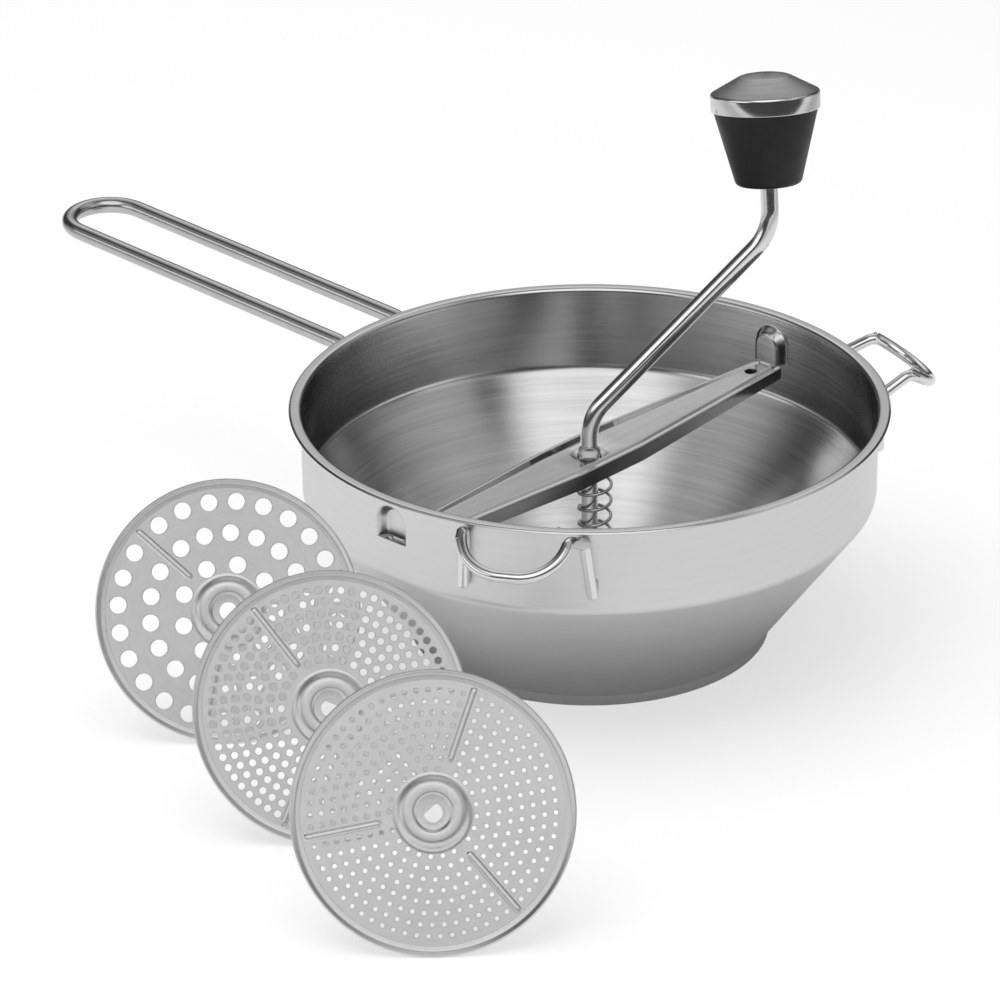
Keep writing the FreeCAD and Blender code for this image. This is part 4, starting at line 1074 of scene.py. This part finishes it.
def bearing_and_washers():
    dish_floor = BRIDGE_TOP - BRIDGE_WEB_DEPTH - DISH_DEPTH
    top = dish_floor + BUSH_TAIL
    outline = [(BUSH_BORE, BUSH_BOTTOM), (BUSH_OUTER, BUSH_BOTTOM), (BUSH_OUTER, dish_floor),
               (BUSH_FLANGE, dish_floor), (BUSH_FLANGE, top), (BUSH_BORE, top)]
    part = turned(rounded_outline(outline, [0.2, 0.2, 0.0, 0.1, 0.3, 0.2]), 96)
    make_piece("shaft_bearing", *part, ["bearing"], "bridge", "bridge_steel", ["bridge_bush"])
    for name, side, body, foot in (("top", "upper", "bridge", BUSH_BOTTOM - WASHER_THICKNESS),
                                   ("bottom", "lower", "lift", HUB_TOP + WASHER_GAP)):
        outline = [(WASHER_BORE, foot), (WASHER_RADIUS, foot),
                   (WASHER_RADIUS, foot + WASHER_THICKNESS), (WASHER_BORE, foot + WASHER_THICKNESS)]
        part = turned(rounded_outline(outline, 4 * [0.25]), 96)
        make_piece("spring_washer_" + name, *part, ["bearing"], body, "bridge_steel",
                   [side + "_spring_washer"])


# ---- Geometry node building blocks -----------------------------------------------------------

def geometry_tree(name, *inputs):
    """A geometry node tree with named inputs, a geometry input and a geometry output."""
    tree = bpy.data.node_groups.new(name, "GeometryNodeTree")
    kinds = {"Material": "NodeSocketMaterial", "Geometry": "NodeSocketGeometry",
             "Sides": "NodeSocketInt"}
    for socket_name in ("Geometry", *inputs, "Material"):
        kind = kinds.get(socket_name, "NodeSocketFloat")
        tree.interface.new_socket(socket_name, in_out="INPUT", socket_type=kind)
    tree.interface.new_socket("Geometry", in_out="OUTPUT", socket_type="NodeSocketGeometry")
    given = tree.nodes.new("NodeGroupInput").outputs
    result = tree.nodes.new("NodeGroupOutput").inputs
    return tree, given, result


def end_tree(tree, given, result, geometry):
    """Ends a tree in real geometry with its material, shaded smooth."""
    real = add_node(tree, "GeometryNodeRealizeInstances", {0: geometry})
    smooth = add_node(tree, "GeometryNodeSetShadeSmooth", {0: real.outputs[0]})
    finish = add_node(tree, "GeometryNodeSetMaterial",
                      {"Geometry": smooth.outputs[0], "Material": given["Material"]})
    feed(tree, result[0], finish.outputs[0])
    return tree


def grown_piece(name, tree, values, start_points, body, slot, stands_for=(), place=None):
    """Runs a tree on a few start points and keeps the result as a plain mesh."""
    piece = add_object(name, make_mesh(name, start_points, []))
    modifier = piece.modifiers.new(name, "NODES")
    modifier.node_group = tree
    for item in tree.interface.items_tree:
        if item.item_type == "SOCKET" and item.in_out == "INPUT" and item.name in values:
            modifier[item.identifier] = values[item.name]
    result = plain_mesh(piece)
    if place is not None:
        result.transform(place)
    result.update()
    settle(piece, body, slot, stands_for)
    return piece


def coil_tree():
    """An open coil of wire round the Z axis."""
    tree, given, result = geometry_tree("spring_coil", "Wire Radius", "Bottom Radius",
                                        "Top Radius", "Turns", "Height", "Base")
    spiral = add_node(tree, "GeometryNodeCurveSpiral", {
        "Resolution": 48, "Reverse": True, "Rotations": given["Turns"], "Height": given["Height"],
        "Start Radius": given["Bottom Radius"], "End Radius": given["Top Radius"]})
    wire = add_node(tree, "GeometryNodeCurvePrimitiveCircle",
                    {"Resolution": 14, "Radius": given["Wire Radius"]})
    solid = add_node(tree, "GeometryNodeCurveToMesh", {
        "Curve": spiral.outputs[0], "Profile Curve": wire.outputs[0], "Fill Caps": True})
    lift = add_node(tree, "ShaderNodeCombineXYZ", {2: given["Base"]})
    raised = add_node(tree, "GeometryNodeTransform",
                      {"Geometry": solid.outputs[0], "Translation": lift.outputs[0]})
    return end_tree(tree, given, result, raised.outputs[0])


def spring_coil():
    """The spring, a tapered open coil between the two washers."""
    top = BUSH_BOTTOM - WASHER_THICKNESS - SPRING_SEAT_GAP
    bottom = HUB_TOP + WASHER_GAP + WASHER_THICKNESS + SPRING_SEAT_GAP
    height = top - bottom - 2 * SPRING_WIRE
    values = {
        "Wire Radius": SPRING_WIRE * MM,
        "Bottom Radius": (SPRING_TOP_RADIUS - height * math.tan(radians(SPRING_TAPER))) * MM,
        "Top Radius": SPRING_TOP_RADIUS * MM,
        "Turns": height / SPRING_PITCH,
        "Height": height * MM,
        "Base": (bottom + SPRING_WIRE) * MM,
        "Material": MATERIALS["spring"],
    }
    aside = Matrix.Translation(ARM @ Vector((SPRING_ASIDE * MM, 0, 0)))
    spring = grown_piece("spring_coil", coil_tree(), values, [(0, 0, 0)], "bridge", "spring_steel",
                         ["spring"], place=aside)
    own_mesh(spring)


# ---- Crank -----------------------------------------------------------------------------------

def crank_bar():
    """The bent rod with its coined ears, from the neck above its foot to the knob."""
    neck_top = FOOT_BOTTOM + FOOT_HEIGHT + FOOT_NECK_HEIGHT
    shoulder = about_z(-CRANK_ANGLE) @ KNOB @ Vector((0, 0, SHOULDER_IN_KNOB * MM)) / MM
    points = [(0, 0, neck_top), (0, 0, CRANK_FOOT_CORNER), (CRANK_RADIUS, 0, CRANK_KNEE_CORNER),
              tuple(shoulder)]
    route = rounded_route(points, [0.0, CRANK_FOOT_BEND, CRANK_KNEE_BEND, 0.0], 3.0)
    ear_top = EAR_BOTTOM + EAR_HEIGHT
    steps = int((EAR_HEIGHT + EAR_SHOULDER + 1) / EAR_STEP)
    shaft = [Vector((0, 0, neck_top)), Vector((0, 0, EAR_BOTTOM - EAR_LEAD))]
    shaft += [Vector((0, 0, EAR_BOTTOM + step * EAR_STEP)) for step in range(steps)]
    route = divide_route(shaft, 8.0)[:-1] + [shaft[-1]] + divide_route(route[1:], 6.0)

    def section(index, point):
        if point.z < EAR_BOTTOM - 0.2 or point.z > ear_top + EAR_SHOULDER:
            return (SHAFT_RADIUS, SHAFT_RADIUS, 2.0)
        if point.z < ear_top:
            share = (point.z - EAR_BOTTOM) / EAR_HEIGHT
            width = mix(SHAFT_RADIUS + 0.1, EAR_HALF_WIDTH, ease(share))
            depth = mix(EAR_HALF_THICKNESS + 0.5, EAR_HALF_THICKNESS, ease(2 * share))
            return (width, depth, EAR_SQUARENESS)
        share = ease((point.z - ear_top) / EAR_SHOULDER)
        return (mix(EAR_HALF_WIDTH, SHAFT_RADIUS, share),
                mix(EAR_HALF_THICKNESS, SHAFT_RADIUS, share), mix(EAR_SQUARENESS, 2.0, share))

    part = moved(merge_parts(swept(route, section, (1, 0, 0), 48), foot_part()), ARM)
    make_piece("crank_bar", *part, ["wire"], "crank", "wire_steel", ["crank_rod"], sharp=40.0)


def foot_part():
    """The keyed foot under the shaft: a neck and a D-shaped head."""
    foot_top = FOOT_BOTTOM + FOOT_HEIGHT
    neck_foot = foot_top - FOOT_EDGE
    neck_top = foot_top + FOOT_NECK_HEIGHT + FOOT_LOWER_EDGE
    neck = turned(rounded_outline(
        [(0.0, foot_top), (FOOT_NECK_RADIUS, neck_foot), (FOOT_NECK_RADIUS, neck_top),
         (0.0, neck_top)], [0, 0, 0, 0]), 32)
    head, faces = turned(
        [(0.0, FOOT_BOTTOM), (FOOT_RADIUS - FOOT_LOWER_EDGE, FOOT_BOTTOM),
         (FOOT_RADIUS, FOOT_BOTTOM + FOOT_LOWER_EDGE), (FOOT_RADIUS, neck_foot),
         (FOOT_RADIUS - FOOT_EDGE, foot_top), (0.0, foot_top)], 48, closed=False)
    flat = FOOT_RADIUS / 2
    return merge_parts(neck, ([(min(x, flat), y, z) for x, y, z in head], faces))


def blade_and_hub():
    bore = SHAFT_RADIUS + ROUND_GAP
    outline = [(bore, HUB_BOTTOM), (HUB_RADIUS, HUB_BOTTOM), (HUB_RADIUS, HUB_TOP), (bore, HUB_TOP)]
    part = turned(rounded_outline(outline, [0.0, 0.2, 0.7, 0.2]), 96)
    make_piece("blade_boss", *part, ["bearing"], "crank", "blade_steel", ["blade_hub"])
    outline = [(bore, BLADE_BOTTOM), (BLADE_CENTRE_RADIUS, BLADE_BOTTOM),
               (BLADE_CENTRE_RADIUS, HUB_BOTTOM), (bore, HUB_BOTTOM)]
    centre = turned(rounded_outline(outline, [0.1, 0.3, 0.3, 0.1]), 96)
    wings = [moved(wing_part(), about_z(turn)) for turn in (0, 180)]
    part = moved(merge_parts(centre, *wings), ARM)
    make_piece("blade_wings", *part, ["blade"], "crank", "blade_steel", ["blade"], sharp=32.0)


def wing_part():
    """One wing: a sector of a sloping plate with a rounded edge, low along its trailing side."""
    slope = math.tan(radians(BLADE_SLOPE))
    start, end = radians(-BLADE_WING_SPAN), radians(BLADE_WING_LEAD)
    columns, rows = 48, 30
    vertices = []
    for layer in (0, 1):
        lift = layer * BLADE_SHEET / math.cos(radians(BLADE_SLOPE))
        for row in range(rows + 1):
            radius = mix(0.0, BLADE_RADIUS, row / rows)
            kept = 1 - (BLADE_TIP_EDGE if row == rows else 0.0) / BLADE_RADIUS
            for column in range(columns + 1):
                angle = mix(start, end, column / columns)
                x, y = radius * math.cos(angle), radius * math.sin(angle)
                vertices.append((x * kept, y * kept, BLADE_BOTTOM + max(-y * slope, 0.0) + lift))
    stride = columns + 1
    size = (rows + 1) * stride
    faces = []
    for face in grid_faces(rows + 1, stride):
        faces += [face, turned_over(face, size)]
    for a in range(rows * stride, rows * stride + columns):
        faces.append((a, a + 1, a + 1 + size, a + size))
    for row in range(rows):
        for a in (row * stride, row * stride + columns):
            faces.append((a, a + stride, a + stride + size, a + size))
    return vertices, faces


# ---- Knob ------------------------------------------------------------------------------------

def knob():
    """The grip, and over its head the cap with a domed crown."""
    plug = CAP_RADIUS - CAP_WALL - CAP_SEAT_GAP
    top = KNOB_GRIP_HEIGHT + PLUG_HEIGHT
    outline = [(GRIP_BORE, 0.0), (KNOB_FOOT_RADIUS, 0.0), (KNOB_HEAD_RADIUS, KNOB_GRIP_HEIGHT),
               (plug, KNOB_GRIP_HEIGHT), (plug, top), (PLUG_WELL_RADIUS, top),
               (PLUG_WELL_RADIUS, top - PLUG_WELL_DEPTH), (GRIP_BORE, top - PLUG_WELL_DEPTH)]
    part = turned(rounded_outline(outline, [0.6, 2.4, 0.25, 0, 0, 0, 0, 0], 10.0), 128)
    make_piece("knob_body", *part, ["grip"], "knob", "knob_black", ["knob_grip"], place=KNOB)
    skirt_top = KNOB_GRIP_HEIGHT + CAP_SKIRT
    apex = skirt_top + CAP_DOME
    edge = KNOB_GRIP_HEIGHT + CAP_SEAT_GAP
    corners = [(CAP_RADIUS - CAP_WALL, 0, edge), (CAP_RADIUS, 0, edge), (CAP_RADIUS, 0, skirt_top),
               (CAP_CROWN_RADIUS, 0, apex - CAP_CROWN_DROP), (0, 0, apex)]
    shell = rounded_route(corners, [0, CAP_EDGE_BEND, CAP_BEND, CAP_CROWN_BEND, 0], 8.0)[:-1]
    route = [(point.x, point.z) for point in shell if point.x > CAP_CROWN_RADIUS * 0.8]
    rim, height = route[-1]
    crown = [mix(rim, 0.0, step / CROWN_STEPS) for step in range(1, CROWN_STEPS + 1)]
    route += [(radius, apex - (apex - height) * (radius / rim) ** 2) for radius in crown]
    inner = [(radius * CAP_INNER_SHARE - 0.02 if radius > 1 else radius, height - CAP_WALL)
             for radius, height in route[::-1] if height - CAP_WALL > edge + 0.5]
    inner += [(CAP_RADIUS - CAP_WALL, edge + 0.6)]
    vertices, faces = turned(route + inner, 160)
    on_band = [sum(vertices[index][2] for index in face) / len(face) < skirt_top for face in faces]
    make_piece("knob_shell", vertices, faces, ["cap", "cap_band"], "knob", "cap_steel",
               ["knob_cap"], place=KNOB, face_materials=[int(low) for low in on_band])


# ---- Strainer discs --------------------------------------------------------------------------

def ring_holes(radius, count, step):
    space = 360.0 / RIB_COUNT
    angles = []
    for sector in range(RIB_COUNT):
        middle = sector * space + space / 2
        angles.extend(middle + (index - (count - 1) / 2) * step for index in range(count))
    return [(radius * math.cos(radians(a)), radius * math.sin(radians(a))) for a in angles]


def stepped_holes(first_ring, ring_step, ring_count):
    holes = []
    for ring in range(ring_count):
        radius = first_ring + ring * ring_step
        room = 360.0 / RIB_COUNT - 2 * math.degrees(math.asin(RIB_MARGIN / radius))
        count = int(room / math.degrees(HOLE_PITCH / radius)) + 1
        holes.extend(ring_holes(radius, count, room / (count - 1)))
    return holes


def circle_points(x, y, radius, count):
    return [(x + radius * math.cos(2 * math.pi * step / count),
             y + radius * math.sin(2 * math.pi * step / count)) for step in range(count)]


def outlined(loops):
    """The points and edges of several closed loops."""
    points = []
    edges = []
    for loop in loops:
        start, count = len(points), len(loop)
        points.extend(Vector(point) for point in loop)
        edges.extend((start + step, start + (step + 1) % count) for step in range(count))
    return points, edges


def perforated_sheet(inner, outer, hole_radius, hole_sides, holes):
    """A flat ring-shaped sheet with round holes, its front at height 0."""
    borders = [circle_points(0, 0, outer, 180), circle_points(0, 0, inner, 120)]
    points, edges = outlined(
        borders + [circle_points(x, y, hole_radius, hole_sides) for x, y in holes])
    flat, _, triangles, *_ = delaunay_2d_cdt(points, edges, [], 0, 1e-5)
    in_hole = hole_radius ** 2 * 0.98

    def kept(triangle):
        middle = sum((flat[index] for index in triangle), Vector((0, 0))) / 3
        return inner <= middle.length <= outer and not any(
            (middle.x - x) ** 2 + (middle.y - y) ** 2 < in_hole for x, y in holes)

    count = len(flat)
    front = [tuple(triangle) for triangle in triangles if kept(triangle)]
    vertices = [(p.x, p.y, height) for height in (0.0, -DISC_SHEET) for p in flat]
    faces = front + [tuple(index + count for index in triangle[::-1]) for triangle in front]
    for start, end in edges[sum(len(border) for border in borders):]:
        faces.append((start, end, end + count, start + count))
    return vertices, faces


def rib_part():
    """A raised radial rib with round ends, its back open into the sheet."""
    columns, rows = 44, 12
    length = RIB_END - RIB_START
    vertices = []
    for column in range(columns + 1):
        along = column / columns
        from_end = min(along, 1 - along) * length
        swell = math.sqrt(1 - (1 - min(from_end / RIB_HALF_WIDTH, 1.0)) ** 2)
        for row in range(rows + 1):
            across = 2 * row / rows - 1
            arch = math.sqrt(max(1 - across * across, 0.0)) ** 0.75
            vertices.append((RIB_START + along * length,
                             across * RIB_HALF_WIDTH * max(swell, 0.02),
                             RIB_HEIGHT * arch * swell - 0.03))
    return vertices, [turned_over(face) for face in grid_faces(columns + 1, rows + 1)]


def disc_hub():
    back = -DISC_SHEET
    floor, top = back + DISC_RECESS_FLOOR, back + DISC_BOSS_HEIGHT
    path = [(DISC_EYE_RADIUS, DISC_RECESS_FLOOR + DISC_EYE_COLLAR), (DISC_EYE_RADIUS, floor),
            (DISC_RECESS_RADIUS + DISC_SHEET / 2, floor), (DISC_RECESS_TOP + DISC_SHEET / 2, top),
            (DISC_BOSS_TOP, top), (DISC_BOSS_FOOT, back), (DISC_BOSS_FOOT + DISC_FLAT, back)]
    return turned_sheet(path, DISC_HUB_BENDS, DISC_SHEET, 120)


def disc_rim():
    start = DISC_RADIUS - DISC_RIM_WIDTH
    path = [(start - DISC_RIM_FLAT, -DISC_SHEET), (start + DISC_SHEET / 2, -DISC_SHEET),
            (DISC_RADIUS, DISC_RIM_HEIGHT - DISC_SHEET / 2)]
    return turned_sheet(path, [0.0, DISC_RIM_BEND, 0.0], DISC_SHEET, 180)


def eye_flat():
    """The segment that makes the round eye a D."""
    outer = DISC_EYE_RADIUS + EYE_OVERLAP
    reach = math.sqrt(outer ** 2 - DISC_EYE_FLAT ** 2)
    half = math.atan2(reach, DISC_EYE_FLAT)
    angles = [mix(-half, half, step / 12) for step in range(13)]
    edge = [(DISC_EYE_FLAT, -reach), *((outer * math.cos(angle), outer * math.sin(angle))
                                       for angle in angles), (DISC_EYE_FLAT, reach)]
    count = len(edge)
    vertices = [(x, y, height) for height in (DISC_RECESS_FLOOR - DISC_SHEET, DISC_RECESS_FLOOR)
                for x, y in edge]
    faces = [tuple(range(count))[::-1], tuple(range(count, 2 * count))]
    faces += [(i, (i + 1) % count, (i + 1) % count + count, i + count) for i in range(count)]
    return moved((vertices, faces), about_z(-180.0 / RIB_COUNT))


def lip_tree():
    """A low rolled lip round every hole centre that it is given."""
    tree, given, result = geometry_tree("punched_lips", "Hole Radius", "Lip Width", "Lip Height",
                                        "Sides")
    reach = math_node(tree, "ADD", given["Hole Radius"], given["Lip Width"])
    path = add_node(tree, "GeometryNodeCurvePrimitiveCircle",
                    {"Resolution": given["Sides"], "Radius": reach})
    profile = add_node(tree, "GeometryNodeCurvePrimitiveCircle",
                       {"Resolution": 6, "Radius": given["Lip Width"]})
    lip = add_node(tree, "GeometryNodeCurveToMesh",
                   {"Curve": path.outputs[0], "Profile Curve": profile.outputs[0]})
    ratio = math_node(tree, "DIVIDE", given["Lip Height"], given["Lip Width"])
    scale = add_node(tree, "ShaderNodeCombineXYZ", {0: 1.0, 1: 1.0, 2: ratio})
    flat = add_node(tree, "GeometryNodeTransform",
                    {"Geometry": lip.outputs[0], "Scale": scale.outputs[0]})
    spread = add_node(tree, "GeometryNodeInstanceOnPoints",
                      {"Points": given["Geometry"], "Instance": flat.outputs[0]})
    return end_tree(tree, given, result, spread.outputs[0])


def disc_holes(name):
    """The centres of a disc's holes."""
    if name in CLOSE_RINGS:
        return stepped_holes(*CLOSE_RINGS[name])
    return [hole for ring in COARSE_RINGS for hole in ring_holes(*ring)]


def strainer_discs():
    lips = lip_tree()
    inner, outer = DISC_BOSS_FOOT + DISC_FLAT, DISC_RADIUS - DISC_RIM_WIDTH - DISC_RIM_FLAT
    for name, (hole_radius, sides, lip_width) in HOLES.items():
        body = "disc_" + name
        node = "strainer_disc_" + name
        place = DISCS[name]
        holes = disc_holes(name)
        sheet = perforated_sheet(inner, outer, hole_radius, sides, holes)
        part = merge_parts(sheet, disc_hub(), disc_rim(), eye_flat())
        ribs = merge_parts(*(moved(rib_part(), about_z(index * 360.0 / RIB_COUNT))
                             for index in range(RIB_COUNT)))
        pieces = [
            make_piece(node + "_sheet", *part, [body], body, "disc_steel", [node], sharp=30.0,
                       place=place, merge=False),
            make_piece(node + "_ribs", *ribs, [body], body, "disc_steel", place=place, merge=False),
        ]
        values = {"Hole Radius": hole_radius * MM, "Lip Width": lip_width * MM, "Sides": sides,
                  "Lip Height": HOLE_LIP_HEIGHT * lip_width * MM, "Material": MATERIALS[body]}
        starts = [(x, y, 0) for x, y in holes]
        pieces.append(grown_piece(node + "_lips", lips, values, starts, body, "disc_steel",
                                  place=place))
        for piece in pieces:
            piece.visible_glossy = False      # the bowl's wall shows the plain floor, not the discs


# ---- Carried-over nodes ----------------------------------------------------------------------

def dress_nodes():
    for node in ("hub_pin", "knob_sleeve", "knob_retainer"):
        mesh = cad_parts[node].data
        mesh.materials.clear()
        mesh.materials.append(MATERIALS["bearing"])


# ---- Studio ----------------------------------------------------------------------------------

def by_ray(tree, camera_level, glossy_level, other_level):
    """A strength that the camera, reflections and all other rays each see in their own way."""
    path = add_node(tree, "ShaderNodeLightPath").outputs
    glossy = math_node(tree, "MAXIMUM", path["Is Glossy Ray"], path["Is Transmission Ray"])
    level = other_level
    for share, wanted in ((glossy, glossy_level), (path["Is Camera Ray"], camera_level)):
        level = add_node(tree, "ShaderNodeMix", {0: share, 2: level, 3: wanted},
                         data_type="FLOAT").outputs[0]
    return level


def towards(azimuth):
    """The level direction at an azimuth measured from the camera's side."""
    return about_z(CAMERA_HEADING - 90 + azimuth) @ Vector((1, 0, 0))


def softbox(tree, direction, azimuth, elevation, inner, outer, level, squash=1.0):
    """A bright patch of the sky round one direction, which fades between two angles. A squash
    above one makes the patch wider than high."""
    axis = towards(azimuth) * math.cos(radians(elevation)) + UP * math.sin(radians(elevation))
    away = vector_math(tree, "SUBTRACT", direction, axis)
    length = vector_math(tree, "LENGTH", vector_math(tree, "MULTIPLY", away, (1.0, 1.0, squash)))
    near, far = (2 * math.sin(radians(angle) / 2) for angle in (inner, outer))
    return map_range(tree, length, near, far, level, 0.0, interpolation_type="SMOOTHSTEP")


SKY_LEVEL = 0.06
WORLD_LIGHT = 0.55              # what lights the object from all round
SOFTBOXES = (
    # azimuth from the camera's side, elevation, inner and outer angle, level, squash
    (0, 52, 15, 40, 1.2, 1.0),
    (60, 38, 10, 46, 0.46, 1.2),
    (-60, 38, 10, 46, 0.46, 1.2),
    (64, 22, 8, 18, 0.3, 1.5),
    (-62, 15, 24, 30, 1.05, 2.8),
    (100, 4, 10, 30, 0.35, 1.5),
    (-100, 4, 10, 30, 0.35, 1.5),
    (0, 32, 6, 16, 0.2, 1.4),
    (180, 56, 20, 36, 0.5, 1.0),
    (110, 44, 12, 26, 0.4, 1.0),
    (180, 33, 14, 36, 0.42, 1.2),
)
FLOOR_SIZE = 6000
FLOOR_DROP = 0.02               # under the feet, so that they don't cut the floor
# Painted light and shade that only reflections see on the floor, each as two places in metres and
# the levels there
PAINTED_FLOOR_FALLOFF = (0.45, 1.3, 0.96, 0.4)      # out from the bowl's axis
PAINTED_BOWL_SHADOW = (0.07, 0.14, 0.6, 1.0)      # in the bowl's own shade
PAINTED_REAR_SHADE = (0.6, 0.85, 1.0, 0.12)       # behind the mill, as the camera sees it
GLOW_RISE = (0.078, 0.1, 0.03, 0.15)      # a bright ring round the foot
GLOW_FALL = (0.12, 0.16, 1.0, 0.35)
FAR_GLOW = (1.0, 2.0, 0.0, 1.0)           # and a glow far out,
FAR_GLOW_SIDES = (0.24, 0.4, 0.1, 0.5)    # weaker round one bearing behind the mill
FAR_GLOW_BEARING = -0.22
# What the camera sees of the floor, and what the object is lit by
FLOOR_CAMERA_COLOR = 0.5
FLOOR_CAMERA_GLOW = 0.56
FLOOR_COLOR = 0.8
LAMP_PLACE = (-0.2, -0.3, 1.7)            # in metres
LAMP_AIM = (0, 0, 0.06)
LAMP_SIZE = 1.5
LAMP_POWER = 14.5


def studio():
    world = bpy.data.worlds.new("studio_world")
    bpy.context.scene.world = world
    world.use_nodes = True
    tree = world.node_tree
    direction = add_node(tree, "ShaderNodeTexCoord").outputs["Generated"]
    sky = SKY_LEVEL
    for patch in SOFTBOXES:
        sky = plus(tree, sky, softbox(tree, direction, *patch))
    background = tree.nodes["Background"]
    background.inputs["Color"].default_value = (1, 1, 1, 1)
    feed(tree, background.inputs["Strength"], by_ray(tree, 1.0, sky, WORLD_LIGHT))
    studio_floor()
    light = bpy.data.lights.new("lamp_top", "AREA")
    light.shape = "SQUARE"
    light.size = LAMP_SIZE
    light.energy = LAMP_POWER
    lamp = add_object("lamp_top", light)
    lamp.location = LAMP_PLACE
    lamp.rotation_euler = (Vector(LAMP_AIM) - lamp.location).to_track_quat("-Z", "Y").to_euler()
    lamp.visible_glossy = False


def studio_floor():
    material, tree, shader = new_material("studio_floor")
    shader.inputs["Roughness"].default_value = 0.8
    shader.inputs["Specular IOR Level"].default_value = 0.0
    shader.inputs["Emission Color"].default_value = (1, 1, 1, 1)
    place = add_node(tree, "ShaderNodeTexCoord").outputs["Object"]
    reach = vector_math(tree, "LENGTH", place)
    behind = vector_math(tree, "DOT_PRODUCT", place, towards(180))
    aside = vector_math(tree, "DOT_PRODUCT", place, towards(-90))
    # Painted shadow round the bowl, painted fall-off outwards and painted shade behind the mill,
    # seen only in reflections of the floor.
    painted_floor_shade = times(tree, map_range(tree, reach, *PAINTED_FLOOR_FALLOFF), map_range(tree, reach, *PAINTED_BOWL_SHADOW))
    painted_floor_shade = times(tree, painted_floor_shade, map_range(tree, behind, *PAINTED_REAR_SHADE))
    feed(tree, shader.inputs["Base Color"], by_ray(tree, FLOOR_CAMERA_COLOR, painted_floor_shade, FLOOR_COLOR))
    # Painted glow rings on the floor that only reflections see, and the plain white that the camera
    # sees.
    glow = times(tree, map_range(tree, reach, *GLOW_RISE), map_range(tree, reach, *GLOW_FALL))
    bearing = math_node(tree, "DIVIDE", aside, math_node(tree, "MAXIMUM", behind, 0.1))
    bearing = math_node(tree, "ABSOLUTE", plus(tree, bearing, -FAR_GLOW_BEARING))
    far = times(tree, map_range(tree, reach, *FAR_GLOW), map_range(tree, bearing, *FAR_GLOW_SIDES))
    glow = by_ray(tree, FLOOR_CAMERA_GLOW, plus(tree, glow, far), 0.0)
    feed(tree, shader.inputs["Emission Strength"], glow)
    half = FLOOR_SIZE / 2
    corners = [(-half, -half, 0), (half, -half, 0), (half, half, 0), (-half, half, 0)]
    mesh = make_mesh("floor", corners, [(0, 1, 2, 3)])
    mesh.materials.append(material)
    panel = add_object("floor", mesh)
    panel.location = (0, 0, -FLOOR_DROP * MM)


def camera():
    data = bpy.data.cameras.new("camera")
    data.sensor_width = 36.0
    data.lens = CAMERA_LENS
    data.clip_end = 100.0
    view = add_object("camera", data)
    aim = about_z(CAMERA_HEADING) @ Matrix.Rotation(radians(90 - CAMERA_DROP), 4, "X")
    aim = aim @ Matrix.Rotation(radians(CAMERA_ASIDE), 4, "Y")
    view.matrix_world = Matrix.Translation(Vector(CAMERA_PLACE) * MM) @ aim
    bpy.context.scene.camera = view
    bpy.context.scene.view_settings.view_transform = "Standard"


bowl_wall()
seat_plate()
handle_loop()
hooks()
weld_beads()
bridge_channel()
bearing_and_washers()
spring_coil()
crank_bar()
blade_and_hub()
knob()
strainer_discs()
dress_nodes()
studio()
camera()

bpy.context.view_layer.update()
